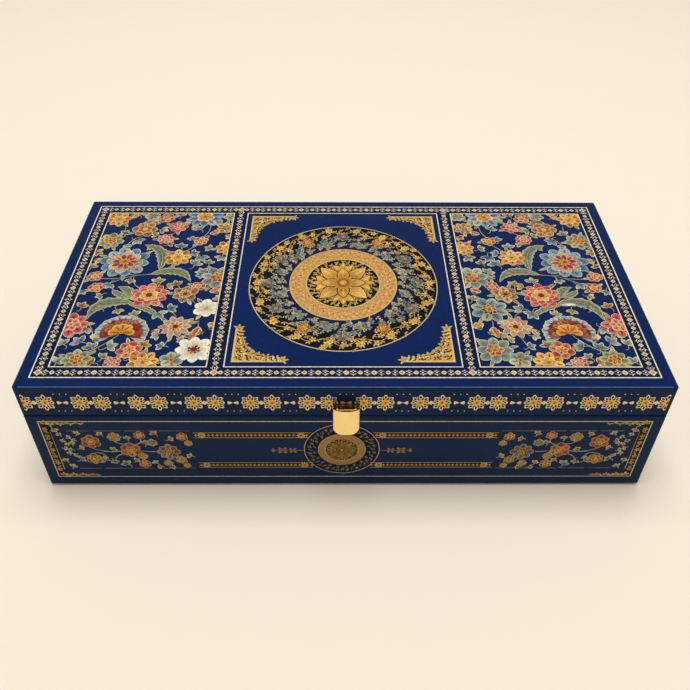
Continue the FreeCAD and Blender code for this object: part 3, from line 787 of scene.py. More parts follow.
# %% [markdown]
# ## Medallion
# The centre of the lid carries a round medallion: a dark ring full of small flowers on two vines, a ring of
# burnished apricot gold, and a golden rosette on black. Everything repeats round the centre, so a helper
# gives evenly spaced places, the vines are one closed wave each, and the smallest stars are strewn by the
# golden angle, as seeds are in a sunflower. The small medallions of the base have the same rosette, so that
# is scaled.

# %% Medallion
RING_IN, RING_OUT, NAVY_OUT = 33.0, 56.6, 46.0   # mm, the flower ring, and the end of its navy inner part
ROSETTE_OUT, BAND_IN, BAND_OUT = 22.5, 22.4, 32.6  # mm, the rosette's ground and the apricot band


def around(centre, radius, count, start=90.0):
    """Evenly spaced places on a circle, and their directions in degrees."""
    angle = start + 360 * np.arange(count) / count
    return np.asarray(centre) + radius * spokes(angle), angle


def vine(art, centre, radius, swing, waves, half_width, colour, coat):
    """A closed wave: radius + swing sin(waves angle)."""
    angle = np.linspace(0, 360, 16 * waves + 1)
    r = radius + swing * np.sin(waves * np.radians(angle))
    ribbon(art, np.asarray(centre) + r[:, None] * spokes(angle), half_width, colour, coat)


def scattered(centre, low, high, count):
    """Places spread evenly between two radii: each turns by the golden angle, and r^2 grows by equal steps.
    A number worked out from each place moves it in or out by up to an eighth of the ring's width."""
    number = np.arange(count)
    r = np.sqrt(low ** 2 + (high ** 2 - low ** 2) * (number + 0.5) / count)
    r = np.clip(r + 0.25 * (high - low) * (chance(HASH_U * number + count) - 0.5), low, high)
    angle = np.degrees(number * np.pi * (3 - np.sqrt(5)))
    return np.asarray(centre) + r[:, None] * spokes(angle), angle


def flower_ring(art, centre, coat=1):
    """Dark ring between the outer gold line and the apricot ring, strewn with stars and leaves."""
    disc(art, centre, RING_OUT, "black", "black", coat, steps=96)
    ring_stroke(art, centre, RING_IN, NAVY_OUT, "navy", "black", coat + 1)
    ring_stroke(art, centre, RING_OUT, RING_OUT + 0.6, "line", "bright", coat + 2, True)
    vine(art, centre, 50.8, 2.4, 15, 0.2, "gold", coat + 2)
    vine(art, centre, 40.6, 2.4, 12, 0.2, "olive", coat + 2)
    # from radius, to radius, how many, petals, length, half-width, tints, gold, turn
    for low, high, count, number, size, width, inner, outer, gold, turn in (
            (46.6, 55.2, 52, 5, 2.1, 0.62, "gold", "straw", False, 0),
            (44.6, 55.6, 150, 3, 2.4, 0.44, "gold", "bright", True, 40),
            (34.8, 45.4, 76, 5, 2.1, 0.68, "slate", "dove", False, 0),
            (34.2, 46.4, 120, 3, 2.1, 0.4, "bronze", "cream", False, 70),
            (34.6, 45.0, 44, 4, 1.5, 0.5, "blue", "steel", False, 20),
            (34.0, 37.4, 64, 3, 1.9, 0.45, "bronze", "straw", False, 20)):
        spots, angle = scattered(centre, low, high, count)
        arc, shape = (130.0, LEAF) if number == 3 else (360.0, ROUND)
        petals(art, spots, number, 0.1, size, width, inner, outer, coat + 3, angle + turn, arc, shape,
               line=None, steps=5, gold=gold, vary=0.4)
        disc(art, spots[::3], 0.36, "brick", "peach", coat + 4, steps=6)
    # radius, how many, first direction, petal length and half-width, tints, outline, variation, heart
    for radius, count, start, size, width, inner, outer, line, vary, heart, ends in (
            (52.4, 18, 100, 2.7, 0.8, "gold", "straw", "umber", 0.3, 0.7, ("rust", "amber")),
            (38.2, 12, 75, 3.5, 1.25, "slate", "dove", "ink", 0.4, 0.8, ("brick", "peach"))):
        spots, angle = around(centre, radius, count, start)
        petals(art, spots, 6, 0.2, size, width, inner, outer, coat + 5, angle, shape=OGEE, line=line, steps=5,
               outline=0.2, vary=vary)
        disc(art, spots, heart, *ends, coat + 7, steps=6)
    for number, (u, v) in enumerate(around(centre, 45.4, 12)[0]):
        kind = "marigold" if number in (1, 5, 7, 11) else "haze"
        flower(art, kind, u, v, 4.4, 90 + 30 * number, coat + 8, line="soil")


def rosette(art, centre, k, coat=2):
    """Apricot ring strewn with tiny florets, and gold petals on black inside it, all k times full size."""
    ring_stroke(art, centre, BAND_IN * k, BAND_OUT * k, "apricot", "apricot", coat, True)
    for low, high in ((22.0, 23.1), (32.0, 32.8)):
        ring_stroke(art, centre, low * k, high * k, "bright", "straw", coat + 4, True)
    # tint, how many, petals, length
    for layer, (tint, count, number, size) in enumerate((("orange", 110, 4, 0.8), ("bright", 170, 3, 0.95),
                                                         ("rust", 60, 3, 0.45))):
        spots, angle = scattered(centre, 23.8 * k, 31.4 * k, count)
        leaflets(art, spots, number, 0.0, size * k, 0.4 * size * k, tint, tint, coat + 1 + layer, angle,
                 edge=tint, steps=4, vary=0.3)
    disc(art, centre, ROSETTE_OUT * k, "soil", "soil", coat, steps=72)
    spots, angle = scattered(centre, 15.0 * k, 21.0 * k, 60)
    leaflets(art, spots, 3, -0.4 * k, 2.3 * k, 0.6 * k, "gold", "bright", coat + 1, angle + 60, 140.0,
             gold=True, vary=0.4)
    # where the petals stand, how many, root, length, half-width, first direction, arc, coat, body tint
    fans, ways = around(centre, 11.0 * k, 4)
    between, slants = around(centre, 12.0 * k, 8, 67.5)
    for places, count, root, tip, width, start, arc, layer, inner in (
            (between, 3, -3.0, 6.0, 1.5, slants, 80.0, 2, "bronze"),
            (fans, 3, -4.0, 8.6, 2.6, ways, 100.0, 5, "bronze"),
            (centre, 4, 2.0, 19.6, 4.6, 45.0, 360.0, 8, "rust"),
            (centre, 4, 2.0, 13.4, 3.6, 90.0, 360.0, 11, "rust")):
        petals(art, places, count, root * k, tip * k, width * k, inner, "gold", coat + layer, start, arc,
               POINT, edge="gold", line="soil", steps=9, outline=0.5 * k, vary=0.3)
        petals(art, places, count, (root + 0.4 * (tip - root)) * k, 0.86 * tip * k, 0.16 * width * k, "gold",
               "bright", coat + layer + 2, start, arc, POINT, edge="bright", line=None)
    petals(art, centre, 16, 1.5 * k, 8.0 * k, 1.1 * k, "rust", "gold", coat + 14, shape=POINT, line="umber",
           outline=0.2 * k)
    disc(art, centre, 2.4 * k, "bright", "amber", coat + 16, True, steps=20)


# The medallion is a little longer from front to back than across, so its face is stretched by these shares.
MEDALLION_U, MEDALLION_V, MEDALLION_STRETCH = -1.3, -2.0, (0.972, 1.04)
medallion = Painting()
flower_ring(medallion, (0.0, 0.0))
rosette(medallion, (0.0, 0.0), 1.0, 4)
medallion_place = face_place((UP * top_mm + RIGHT * MEDALLION_U + BACK * MEDALLION_V) * MM,
                             RIGHT * MEDALLION_STRETCH[0], BACK * MEDALLION_STRETCH[1])
painted_piece("paint_lid_medallion", medallion, "lid", medallion_place)

# %% [markdown]
# ## Corner scrollwork
# Gilded spandrels fill the corners of the centre panel. Each is two wings of solid gold along the edges,
# whose inner side is a hyperbola, fringed with trefoil leaves. Dark and bright strokes on the gold read as
# carved scrolls. Each stroke is turned by a number that looks random but is worked out from its place, so
# that every run gives the same scrolls.

# %% Spandrels
SPANDREL_LEG, SPANDREL_DEEP = 27.0, 10.0     # mm
SPANDREL_GAP_U, SPANDREL_GAP_V = 3.6, 3.8    # mm from the centre panel's line


def spandrel(art, corner, way_u, way_v, coat=2):
    """Two wings of one corner: at distance x along an edge the gold is 120 / (x + 3) - 1.5 deep, up to a
    limit."""
    def deep(x):
        return np.minimum(120 / (x + 3) - 1.5, SPANDREL_DEEP)

    for wing in (0, 1):
        def turned(x, y):
            return np.stack([x, y] if wing == 0 else [y, x], -1) * [way_u, way_v]

        def placed(x, y):
            return np.asarray(corner) + turned(x, y)

        def aim(x, y):
            ahead = turned(x, y)
            return np.degrees(np.arctan2(ahead[1], ahead[0]))

        def trefoil(spots, root, length, half_width, towards, arc):
            petals(art, spots, 3, root, length, half_width, "gold", "bright", coat, towards, arc, LEAF,
                   line="umber", steps=5, gold=True, outline=0.18)

        x = np.linspace(0, SPANDREL_LEG, 24)
        art.lay(np.stack([placed(x, 0 * x), placed(x, deep(x))], 1), TINT["gold"], coat - 1 - wing, True)
        ribbon(art, placed(x, 0.6 + 0 * x), 0.5, "bright", coat + 2)
        tips = np.arange(8.5, SPANDREL_LEG, 2.5)
        for start, length in ((0, 3.4), (1, 2.6)):
            at = tips[start::2]
            trefoil(placed(at, deep(at) - 0.8), 0.0, length, 0.75, aim(0.35, 1), 110.0)
        trefoil(placed(SPANDREL_LEG, 1.6), -1.0, 3.6, 0.8, aim(1, 0.1), 120.0)
        # share of the depth, step along the edge, tint, coat
        for share, step, tint, layer in ((0.36, 2.7, "umber", 2), (0.78, 3.0, "navy", 2),
                                         (0.56, 2.8, "bright", 3)):
            x = np.arange(2.2, SPANDREL_LEG - 1, step)
            swing = 140 * (chance(HASH_U * x + HASH_V * share) - 0.5)
            leaflets(art, placed(x, share * deep(x) + 0.5), 2, -0.3, 2.1, 0.4, tint, tint, coat + layer,
                     aim(1, 0.5) + swing, 110.0, edge=tint)


spandrels = Painting()
for way_u in (-1, 1):
    for way_v in (-1, 1):
        corner = (CENTRE_U - way_u * (CENTRE_X - SPANDREL_GAP_U), -way_v * (PANEL_Y - SPANDREL_GAP_V))
        spandrel(spandrels, corner, way_u, way_v)
painted_piece("paint_lid_spandrels", spandrels, "lid", FACES["top"])

# %% [markdown]
# ## Flower panels
# The two side panels of the lid are gardens of scattered flowers on bare lacquer, joined by stems and long
# saw-edged leaves, and cut off by the panel's line. They are listed one by one, because scattering by chance
# would lose the way the big flowers balance. The list is for the right panel, and the left one is its mirror
# image, but for two white flowers and a white stalk.

# %% Flowers of the right panel
# kind, place across and along the lid in mm, radius
GARDEN = [
    ("bluebell", 91.7, 68.5, 11.7), ("leafy", 74.5, 69.0, 5.0), ("thistle", 76.6, 55.6, 6.2),
    ("marigold", 73.4, 33.6, 7.6), ("ember", 91.0, 41.0, 4.6), ("pink", 107.6, 56.7, 6.2),
    ("ember", 116.7, 67.0, 5.2), ("pink", 113.6, 43.0, 5.4), ("leafy", 126.4, 69.5, 5.0),
    ("pansy", 128.6, 53.8, 8.2), ("marigold", 147.8, 65.5, 8.2), ("moss", 148.0, 41.0, 8.4),
    ("sky", 134.4, 18.6, 15.2), ("marigold", 102.8, 23.4, 8.4), ("frost", 75.4, 3.0, 10.8),
    ("ember", 149.2, 4.1, 4.7), ("ember", 146.0, -6.6, 4.6), ("peony", 113.6, -13.8, 11.2),
    ("star", 93.0, -12.6, 7.8), ("ember", 86.4, -5.4, 4.2), ("daisy", 94.1, -41.4, 9.2),
    ("pink", 152.0, -39.8, 9.8), ("ember", 115.6, -60.3, 7.0), ("marigold", 106.7, -70.0, 8.6),
    ("leafy", 92.0, -68.0, 6.4), ("pink", 122.8, -70.2, 4.6), ("moss", 142.0, -67.8, 7.8),
    ("marigold", 155.0, 74.0, 6.0),
]
ONE_SIDE_ONLY = {1: [("wine", 81.7, -26.4, 10.8), ("frost", 79.6, -60.3, 10.4)],
                 -1: [("snow", 79.0, -25.4, 7.8), ("pearl", 81.4, -60.0, 10.4)]}
PALMETTE_PLACE, PALMETTE_HIGH = (122.8, -46.5), 14.8
# start, bend and end of the midrib, half-width
SAZ_LEAVES = [
    ((112.2, 10.5), (109.0, 34.0), (126.0, 36.6), 3.6), ((117.0, 6.0), (98.0, 16.0), (91.6, -1.2), 3.3),
    ((121.5, -20.8), (144.0, -15.0), (144.6, -35.6), 4.0),
    ((123.5, -16.5), (124.5, -8.0), (133.6, -5.8), 3.0),
    ((125.0, -15.5), (134.0, -13.0), (136.0, -8.0), 2.0),
    ((124.0, -22.0), (112.0, -24.0), (103.5, -34.5), 2.0),
]
STEMS = [
    ((104.0, 17.0), (110.0, 8.0), (118.5, 6.0)), ((112.2, 10.5), (114.0, 7.0), (118.5, 6.0)),
    ((118.5, 6.0), (130.0, 4.0), (134.0, 10.0)), ((124.0, 5.2), (138.0, 0.0), (149.0, 3.0)),
    ((130.0, 3.5), (138.0, -2.0), (146.0, -6.0)), ((126.0, 4.0), (126.0, -4.0), (119.0, -8.0)),
    ((87.0, 59.0), (86.0, 52.0), (90.5, 45.0)), ((91.5, 38.0), (95.0, 34.0), (100.0, 29.0)),
    ((116.0, 62.5), (122.0, 62.0), (126.0, 57.0)), ((128.5, 45.5), (134.0, 46.0), (138.0, 33.0)),
    ((142.0, 58.0), (140.0, 52.0), (144.0, 46.0)), ((123.0, -46.0), (128.0, -56.0), (140.0, -63.0)),
    ((113.0, -54.0), (116.0, -50.0), (122.0, -47.0)), ((82.0, -36.0), (82.0, -42.0), (80.0, -47.0)),
    ((95.0, -33.0), (98.0, -27.0), (103.0, -28.0)), ((95.5, -50.0), (97.0, -54.0), (98.0, -57.0)),
    ((86.0, -21.0), (88.0, -18.0), (90.0, -16.0)), ((143.5, -38.0), (140.0, -42.0), (138.0, -48.0)),
    ((108.0, 51.0), (111.0, 48.0), (113.0, 46.5)),
]
# place, size, direction in degrees, inner and outer tint
SPRIGS = [
    (93.9, 54.2, 4.2, 60, "teal", "sky"), (96.4, 42.4, 3.6, 80, "teal", "sky"),
    (94.4, 27.6, 4.0, 160, "blue", "sky"), (88.6, 24.4, 4.6, 250, "blue", "sky"),
    (91.8, 16.4, 4.8, 120, "teal", "mist"), (102.8, 34.4, 4.2, 90, "teal", "sky"),
    (75.6, 24.0, 4.4, 300, "teal", "mist"), (127.6, 63.8, 4.2, 250, "olive", "sage"),
    (117.8, 53.8, 4.2, 200, "olive", "sage"), (131.6, 41.6, 4.6, 230, "teal", "sky"),
    (140.6, 48.8, 4.0, 110, "moss", "sage"), (154.0, 29.0, 4.0, 200, "rust", "tan"),
    (110.8, -1.0, 4.2, 90, "olive", "sage"), (138.4, -3.4, 4.2, 300, "teal", "mist"),
    (153.6, 14.0, 3.6, 120, "rust", "tan"), (85.6, 8.4, 4.2, 60, "teal", "mist"),
    (86.0, 6.0, 3.4, 340, "teal", "sky"), (153.2, -9.6, 3.6, 240, "slate", "mist"),
    (99.4, -3.8, 4.0, 70, "umber", "tan"), (100.0, -26.0, 4.4, 150, "teal", "sky"),
    (106.0, -29.6, 5.0, 230, "teal", "sky"), (143.0, -42.4, 5.0, 300, "teal", "mist"),
    (143.4, -54.0, 5.0, 40, "blue", "sky"), (127.6, -57.4, 4.8, 160, "slate", "mist"),
    (136.4, -58.6, 4.6, 60, "slate", "sky"), (98.8, -57.4, 3.4, 20, "blue", "sky"),
    (152.4, -55.6, 4.4, 60, "slate", "mist"), (109.2, -56.6, 4.2, 120, "umber", "tan"),
    (133.4, -70.4, 4.0, 30, "rust", "tan"), (152.0, -69.6, 4.4, 120, "slate", "mist"),
    (84.6, -49.8, 3.8, 80, "rust", "tan"), (103.0, -48.6, 3.4, 330, "lavender", "mist"),
    (72.6, 46.0, 3.6, 320, "rust", "tan"), (108.6, 70.4, 3.8, 100, "rust", "tan"),
    (136.4, 70.6, 4.0, 60, "rust", "amber"), (120.6, 33.6, 3.2, 20, "olive", "sage"),
    (99.8, 8.6, 3.2, 140, "olive", "sage"), (150.4, -24.0, 4.0, 110, "rust", "tan"),
    (118.4, -31.0, 3.6, 70, "olive", "sage"), (83.0, 62.0, 3.4, 200, "olive", "sage"),
    (100.5, 64.0, 3.4, 30, "olive", "sage"), (123.5, 61.0, 3.0, 120, "rust", "tan"),
    (84.0, 33.0, 3.6, 20, "olive", "sage"), (83.4, 17.6, 3.6, 100, "moss", "sage"),
    (110.8, 37.4, 3.0, 160, "rust", "tan"), (120.0, 47.0, 3.2, 30, "moss", "sage"),
    (127.0, 1.0, 3.4, 280, "olive", "sage"), (141.4, -14.0, 3.2, 330, "moss", "sage"),
    (104.0, -6.0, 3.2, 150, "olive", "sage"), (72.8, -17.0, 3.6, 60, "olive", "sage"),
    (88.0, -37.0, 3.4, 200, "moss", "sage"), (129.0, -27.0, 3.4, 250, "rust", "tan"),
    (139.0, -25.6, 3.2, 60, "olive", "sage"), (88.8, -52.0, 3.0, 20, "olive", "sage"),
    (114.0, -67.0, 3.0, 170, "moss", "sage"), (129.0, -66.0, 3.4, 120, "olive", "sage"),
    (148.6, -47.6, 3.4, 10, "rust", "tan"),
]
BUDS = [
    (82.4, 48.4, 4.0, 60, "brick", "salmon"), (74.0, -42.4, 4.8, 110, "rust", "amber"),
    (79.6, -46.2, 5.0, 20, "brick", "orange"), (135.4, -52.2, 5.0, 90, "orange", "cream"),
    (105.6, -45.0, 3.2, 200, "plum", "blush"), (140.0, 71.0, 4.2, 200, "rust", "amber"),
    (136.0, 33.6, 3.4, 80, "blue", "sky"), (75.0, -11.0, 4.2, 60, "brick", "salmon"),
    (152.6, 20.6, 3.6, 200, "rust", "amber"),
]
print("flowers in a panel:", len(GARDEN) + len(ONE_SIDE_ONLY[1]), "sprigs and buds:",
      len(SPRIGS) + len(BUDS))

# %% Paint both panels
PANEL_MARGIN = 0.7                     # mm, from the panel's edge to the painting
FLOWER_SHARE, SPRIG_SHARE = 1.03, 1.08  # painted size, to the size in the lists


def garden_panel(sign):
    """All motifs of one panel; sign -1 is the mirror image, where a direction d becomes 180 - d."""
    low, high = sorted((CENTRE_U + sign * (PANEL_IN + PANEL_MARGIN), sign * (PANEL_OUT - PANEL_MARGIN)))
    art = Painting((low, high, PANEL_MARGIN - PANEL_Y, PANEL_Y - PANEL_MARGIN))

    def aim(degrees):
        return degrees if sign > 0 else 180 - degrees

    for points in STEMS:
        stem(art, *[(sign * x, y) for x, y in points])
    for *points, width in SAZ_LEAVES:
        saz_leaf(art, [(sign * x, y) for x, y in points], sign * width)
    for motif, rows, share in ((sprig, SPRIGS, SPRIG_SHARE), (bud, BUDS, 1.0)):
        for x, y, size, degrees, inner, outer in rows:
            motif(art, sign * x, y, share * size, aim(degrees), inner, outer)
    for number, (kind, x, y, size) in enumerate(GARDEN + ONE_SIDE_ONLY[sign]):
        flower(art, kind, sign * x, y, FLOWER_SHARE * size, aim(90 + 17 * number),
               leaves=3 if size > 6 else 2)
    palmette(art, sign * PALMETTE_PLACE[0], PALMETTE_PLACE[1], PALMETTE_HIGH)
    if sign > 0:
        petals(art, (123.0, -22.4), 1, 0.0, 9.0, 1.0, "ivory", "white", 5, 6.0, shape=LEAF, edge="white",
               outline=0.2)
    return art


painted_piece("paint_lid_right_panel", garden_panel(1), "lid", FACES["top"])
painted_piece("paint_lid_left_panel", garden_panel(-1), "lid", FACES["top"])

# %% [markdown]
# ## Band round the lid
# Pairs of open gold flowers run round the lid's rims, tied by a small diamond within a pair and by two
# triangles, tip to tip, between pairs. The petals are loops, so each gold petal has a smaller petal of
# lacquer blue on it. Pairs repeat with the same step on all four sides.

# %% Lid bands
PAIR_STEP, PAIR_HALF, BAND_DROP = 29.3, 5.6, 11.3   # mm, from pair to pair, in a pair, below the lid's top
SEAM_GAP, TOP_GAP = 2.0, 1.6                        # mm of bare lacquer below and above
FAN = (1.1, 0.25)                                   # petal shape that is widest at its tip


def lid_band(half_length):
    """Flower pairs along a rim, from the middle out, cut at the rounded corners."""
    art = Painting((EDGE_ROUND - half_length, half_length - EDGE_ROUND, seam_mm + SEAM_GAP, top_mm - TOP_GAP))
    pairs = int(round(2 * half_length / PAIR_STEP))

    def row(places):
        return np.column_stack([places, np.full(len(places), top_mm - BAND_DROP)])

    middle = (np.arange(pairs) - (pairs - 1) / 2) * PAIR_STEP
    blooms = row(np.concatenate([middle - PAIR_HALF, middle + PAIR_HALF]))
    for count, start, tip in ((2, 0.0, 4.9), (4, 45.0, 5.7), (2, 90.0, 6.0)):
        leaflets(art, blooms, count, 2.4, tip, 1.15, "bright", "cream", 1, start, steps=7, gold=True)
        leaflets(art, blooms, count, 3.0, tip - 0.8, 0.6, "ink", "ink", 2, start, steps=6, edge="ink")
    petals(art, blooms, 8, 3.4, 4.7, 0.22, "bright", "cream", 1, 22.5, shape=DROP, line=None, steps=5,
           gold=True)
    petals(art, blooms, 8, 0.5, 3.1, 0.7, "gold", "bright", 3, shape=POINT, line="soil", gold=True,
           outline=0.15)
    disc(art, blooms, 1.0, "rust", "amber", 5, steps=12)
    disc(art, blooms, 0.45, "umber", "umber", 6, steps=8)
    leaflets(art, row(middle), 4, 0.0, 1.5, 0.75, "white", "bright", 3, gold=True)
    bows = row((np.arange(pairs + 1) - pairs / 2) * PAIR_STEP)
    petals(art, bows, 2, 0.0, 2.9, 1.15, "white", "bright", 3, shape=FAN, line=None, steps=6, gold=True)
    for aside in (-3.3, 0.0, 3.3):
        for rise in (-6.3, 6.3):
            disc(art, bows + [aside, rise], 0.3, "line", "line", 1, True, steps=8)
    return art


for side, half_length in HALF_LENGTH.items():
    painted_piece("paint_lid_band_" + side, lid_band(half_length), "lid", FACES[side])

# %% [markdown]
# ## Panels of the base
# Each side of the base has a gold frame with floral corners and a bed of muted flowers at both ends. On the
# long sides a beaded chain leads from each bed to a small medallion in the middle. On the short sides the two
# beds meet at a gold rosette. Everything is written for the left half and laid again as its mirror image.

# %% Base motifs
# kind, distance from the left edge and below the lid's top in mm, radius
BED = [
    ("brick", 31.2, 42.2, 5.6), ("brick", 51.8, 49.2, 6.2), ("dusk", 72.4, 50.8, 6.6),
    ("pansy", 30.2, 56.6, 4.6), ("ember", 58.4, 36.9, 3.2), ("moss", 44.6, 38.4, 3.8),
    ("ember", 81.2, 38.0, 3.2), ("ember", 57.6, 61.0, 3.5), ("moss", 70.8, 60.6, 2.6),
    ("star", 78.5, 57.6, 3.4), ("leafy", 64.4, 43.0, 3.0), ("moss", 57.6, 54.4, 2.8),
    ("star", 84.0, 43.4, 2.4), ("star", 81.0, 62.6, 2.2),
]
# distance from the left edge, below the lid's top, size, direction, tints
BED_SPRIGS = [
    (42.0, 49.0, 2.6, 120, "moss", "sage"), (36.0, 58.0, 4.0, 30, "slate", "mist"),
    (22.6, 57.2, 3.4, 150, "slate", "mist"), (60.4, 43.6, 3.0, 100, "moss", "sage"),
    (47.6, 61.6, 4.2, 60, "moss", "mist"), (66.6, 35.8, 2.8, 60, "rust", "tan"),
    (51.4, 39.6, 2.4, 90, "teal", "mist"), (24.8, 35.6, 2.4, 120, "bronze", "straw"),
    (37.4, 36.2, 2.4, 60, "bronze", "straw"), (63.8, 60.4, 2.6, 60, "bronze", "straw"),
    (53.0, 58.4, 2.6, 140, "bronze", "straw"), (74.2, 40.0, 2.6, 160, "rust", "tan"),
    (41.0, 58.6, 3.0, 260, "moss", "sage"), (84.0, 54.6, 2.8, 30, "bronze", "straw"),
    (72.4, 64.2, 2.2, 180, "rust", "tan"), (24.6, 47.4, 2.4, 160, "bronze", "straw"),
    (66.0, 64.0, 2.2, 0, "rust", "tan"), (20.6, 44.0, 2.2, 90, "bronze", "straw"),
    (14.0, 58.4, 2.6, 70, "bronze", "straw"), (16.6, 63.6, 2.8, 120, "bronze", "straw"),
    (13.8, 32.0, 2.6, 250, "bronze", "straw"), (15.5, 36.5, 1.9, 60, "slate", "ivory"),
    (19.5, 38.5, 1.9, 150, "slate", "ivory"), (16.5, 41.0, 1.9, 300, "slate", "mist"),
    (15.8, 47.6, 2.0, 200, "slate", "ivory"), (19.2, 49.2, 2.0, 20, "slate", "mist"),
    (17.4, 52.4, 2.0, 100, "slate", "ivory"), (22.4, 41.2, 1.8, 30, "slate", "mist"),
    (21.0, 53.4, 1.9, 330, "bronze", "straw"), (18.0, 44.6, 1.6, 80, "bronze", "straw"),
]
BED_STEMS = [
    ((31, 48), (40, 52), (46, 50)), ((36, 50.5), (44, 51), (46, 50)), ((58, 50), (62, 51), (65, 50.6)),
    ((58.6, 40), (59, 44), (54, 45)), ((57, 54), (57, 57), (57.6, 58)), ((74, 57), (76, 60), (78, 57)),
    ((31, 52), (36, 50), (38, 57)), ((42, 60), (41, 55), (46, 53)), ((44, 42), (47, 45), (50, 44)),
]
BED_SPRIG_SHARE = 0.85  # painted size, to the size in the list


def flower_bed(art, place, sign):
    """The bed of one end; place turns a distance from the end and below the top into a spot on the face."""
    for kind, u, v, size in BED:
        flower(art, kind, *place(u, v), size, line="straw")
    for u, v, size, degrees, inner, outer in BED_SPRIGS:
        sprig(art, *place(u, v), BED_SPRIG_SHARE * size, degrees if sign > 0 else 180 - degrees, inner, outer)
    for points in BED_STEMS:
        stem(art, *[place(u, v) for u, v in points], coat=1, width=0.2)
    for v in (33.4, 65.2):
        for low, high in ((20, 33), (34.5, 49), (51, 62), (64, 86)):
            ribbon(art, [place(low, v), place(high, v)], 0.2, "tan", 1, False, end="olive")


def corner_spray(art, place):
    """Florets and leaves along both frame lines from each corner of one end, shrinking away from it."""
    for level, away in ((27.4, 1), (71.0, -1)):
        for number, u in enumerate(np.linspace(10, 29, 8)):
            size = 2.6 - 0.18 * number
            leaflets(art, place(u, level), 3, 0.0, size, 0.3 * size, "tan", "straw", 2,
                     90 - 180 * (number % 2), 150.0, vary=0.5)
            disc(art, place(u, level), 0.24 * size, "rust", "amber", 3, steps=6)
        wave = [place(u, level + away * 0.5 * np.sin(1.6 * u)) for u in np.linspace(8, 31, 30)]
        ribbon(art, wave, 0.16, "gold", 1)
    art.lay([[place(6.9, 26.1), place(11.3, 26.1)], [place(6.9, 72.5), place(11.3, 72.5)]], TINT["black"], 0)
    heights = np.linspace(32, 66, 7)
    spots = [place(8.9, v) for v in heights]
    leaflets(art, spots, 5, 0.1, 1.7, 0.5, "bronze", "straw", 2, 40 * np.arange(7), vary=0.5)
    disc(art, spots, 0.4, "rust", "amber", 3, steps=6)
    between = [place(8.9, v) for v in (heights[1:] + heights[:-1]) / 2]
    leaflets(art, between, 3, -0.4, 1.7, 0.4, "bronze", "straw", 2, 60 + 47 * np.arange(6), 130.0)
    ribbon(art, [place(11.3, 34), place(11.3, 66)], 0.18, "bronze", 1, end="line")


def chain(art, place, low, high, upper, lower):
    """Two gold lines with lozenge beads between them, and a floret near each end."""
    middle = (upper + lower) / 2
    lines = [[place(low, v), place(high, v)] for v in (upper, lower)]
    art.lay(lines, TINT["black"], 0)
    for line in lines:
        ribbon(art, line, 0.17, "gold", 1)
    beads = [place(u, middle) for u in np.arange(low + 1.4, high, 2.3)]
    leaflets(art, beads, 4, 0.0, 0.95, 0.34, "gold", "bright", 2, steps=4, gold=True)
    ends = [place(low + 4.5, middle), place(high - 5.0, middle)]
    petals(art, ends, 8, 0.2, 2.5, 0.5, "amber", "bright", 3, steps=5, shape=LEAF, line="umber", gold=True,
           outline=0.15)
    disc(art, ends, 0.6, "umber", "rust", 5, steps=6)


def gold_sprig(art, place, low, high, level):
    """A stalk beside the small medallion, with two pairs of leaves and a tip."""
    ribbon(art, [place(low, level), place(high, level)], 0.18, "gold", 1)
    outward = 0.0 if place(low, level)[0] > place(high, level)[0] else 180.0
    for share, size in ((0.25, 3.2), (0.6, 2.6)):
        leaflets(art, place(low + (high - low) * share, level), 4, 0.2, size, 0.28 * size, "bronze", "bright",
                 2, 45.0, steps=6, gold=True)
    leaflets(art, place(low, level), 3, -0.4, 2.2, 0.6, "bronze", "bright", 2, outward, 90.0, steps=6,
             gold=True)


SMALL_U, SMALL_LEVEL, SMALL_RADIUS = -2.2, 49.0, 20.8  # mm, place on the face and below the lid's top
SMALL_BAND = 13.1                                      # mm, its apricot band's outer radius
BASE_FADE, SPRIG_FADE, RING_FADE, ROSETTE_FADE = 0.30, 0.62, 0.6, 0.58   # the base's colours are muted


def small_medallion(art, centre):
    """A thin circle, a ring of dim sprigs and the rosette in its apricot ring."""
    disc(art, centre, SMALL_RADIUS - 0.2, "ink", "ink", 0, steps=72)
    ring_stroke(art, centre, SMALL_RADIUS - 0.4, SMALL_RADIUS, "tan", "line", 1, True)
    art.fade = RING_FADE
    for start, size, inner, outer, radius in ((90, 1.9, "slate", "mist", 16.9),
                                              (99, 1.6, "bronze", "straw", 17.8),
                                              (99, 1.3, "olive", "straw", 15.0)):
        spots, angle = around(centre, radius, 20, start)
        leaflets(art, spots, 3, -0.5, size, 0.42, inner, outer, 2, angle + 60, 140.0, vary=0.5)
    art.fade, art.ground = ROSETTE_FADE, "soil"
    rosette(art, centre, SMALL_BAND / BAND_OUT, 3)


print("flowers in a bed:", len(BED))

# %% Paint the base
FRAME_INSET, FRAME_TOP, FRAME_LOW = 6.4, 25.6, 73.0   # mm from the end, and below the lid's top
CHAIN_START, CHAIN_LEVELS = 87.5, ((35.0, 39.0), (60.4, 64.4))
SPRIG_START, SPRIG_END, SPRIG_LEVEL = 133.2, 149.7, 49.6
BED_SHIFT, SHORT_LEVEL, SHORT_ROSETTE = 6.0, 49.2, 0.3  # short sides: beds' shift, rosette's place and size


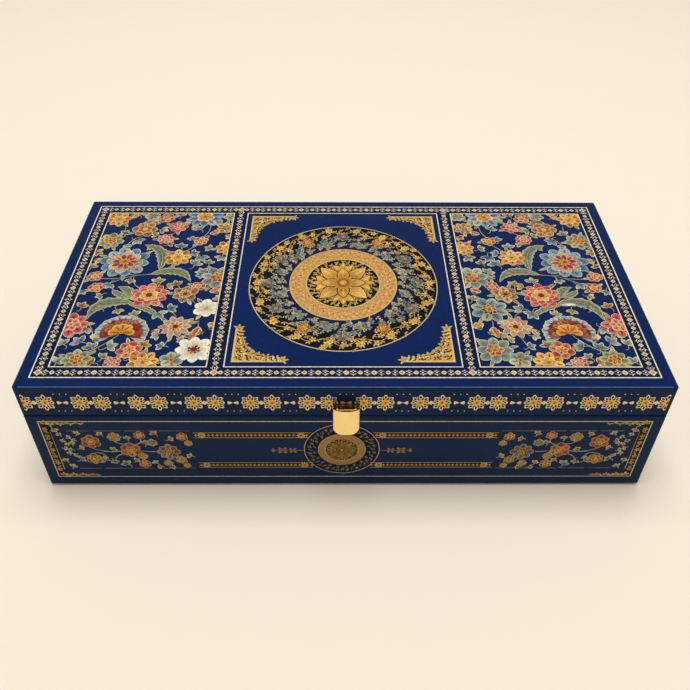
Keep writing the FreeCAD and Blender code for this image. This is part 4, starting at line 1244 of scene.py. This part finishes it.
def base_side(half_length, long_side):
    """Frame, corners and beds at both ends, then chains and medallion, or a rosette, in the middle."""
    art = Painting(fade=BASE_FADE, ground="black")
    frame_line(art, FRAME_INSET - half_length, half_length - FRAME_INSET, top_mm - FRAME_LOW,
               top_mm - FRAME_TOP, 0.5, "line", 1)
    for sign in (-1, 1):
        def place(u, v):
            return np.array([sign * (half_length - u), top_mm - v])

        def bed_place(u, v):
            return place(u if long_side else u - BED_SHIFT, v)

        corner_spray(art, place)
        flower_bed(art, bed_place, sign)
        if long_side:
            for upper, lower in CHAIN_LEVELS:
                chord = np.sqrt(SMALL_RADIUS ** 2 - ((upper + lower) / 2 - SMALL_LEVEL) ** 2)
                chain(art, place, CHAIN_START, half_length - sign * SMALL_U - chord, upper, lower)
            art.fade = SPRIG_FADE
            gold_sprig(art, place, SPRIG_START - sign * SMALL_U, SPRIG_END - sign * SMALL_U, SPRIG_LEVEL)
            art.fade = BASE_FADE
    if long_side:
        small_medallion(art, (SMALL_U, top_mm - SMALL_LEVEL))
    else:
        rosette(art, (0.0, top_mm - SHORT_LEVEL), SHORT_ROSETTE)
    return art


for side, half_length in HALF_LENGTH.items():
    art = base_side(half_length, side in ("front", "back"))
    painted_piece("paint_base_" + side, art, "base", FACES[side])

# %% [markdown]
# ## A painted highlight on the lid's edge
# The soft box shows on the lid's front edge as a thin pale line, and that highlight is painted here in pale
# blue. A second lacquer with a mask could show it, but the line is half a millimetre wide, so it is one more
# stroke: a ribbon on the narrow bevel between the lid's top and front.

# %% Painted edge highlight
BEVEL = 0.8                                        # mm, taken off both faces
HIGHLIGHT_INSET, HIGHLIGHT_RISE, HIGHLIGHT_HALF = 3.0, 0.15, 0.3     # mm, from the ends, above the bevel's middle, half-width
highlight_art = Painting()
along = np.linspace(HIGHLIGHT_INSET - half_wide, half_wide - HIGHLIGHT_INSET, 50)
# Painted highlight: a pale blue line for the soft box's reflection on the lid's front bevel.
ribbon(highlight_art, np.column_stack([along, np.full(50, HIGHLIGHT_RISE)]), HIGHLIGHT_HALF, "edge_highlight", 0, False)
bevel_middle = (UP * (top_mm - BEVEL / 2) - BACK * (half_deep - BEVEL / 2)) * MM
painted_piece("painted_highlight_lid_edge", highlight_art, "lid", face_place(bevel_middle, RIGHT, (BACK + UP) / np.sqrt(2)))

# %% [markdown]
# ## Size with the paint
# The paint may not change the size of the chest.

# %% Print the size
low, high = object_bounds()
print("visual box in mm:", [round(side / MM, 2) for side in high - low])
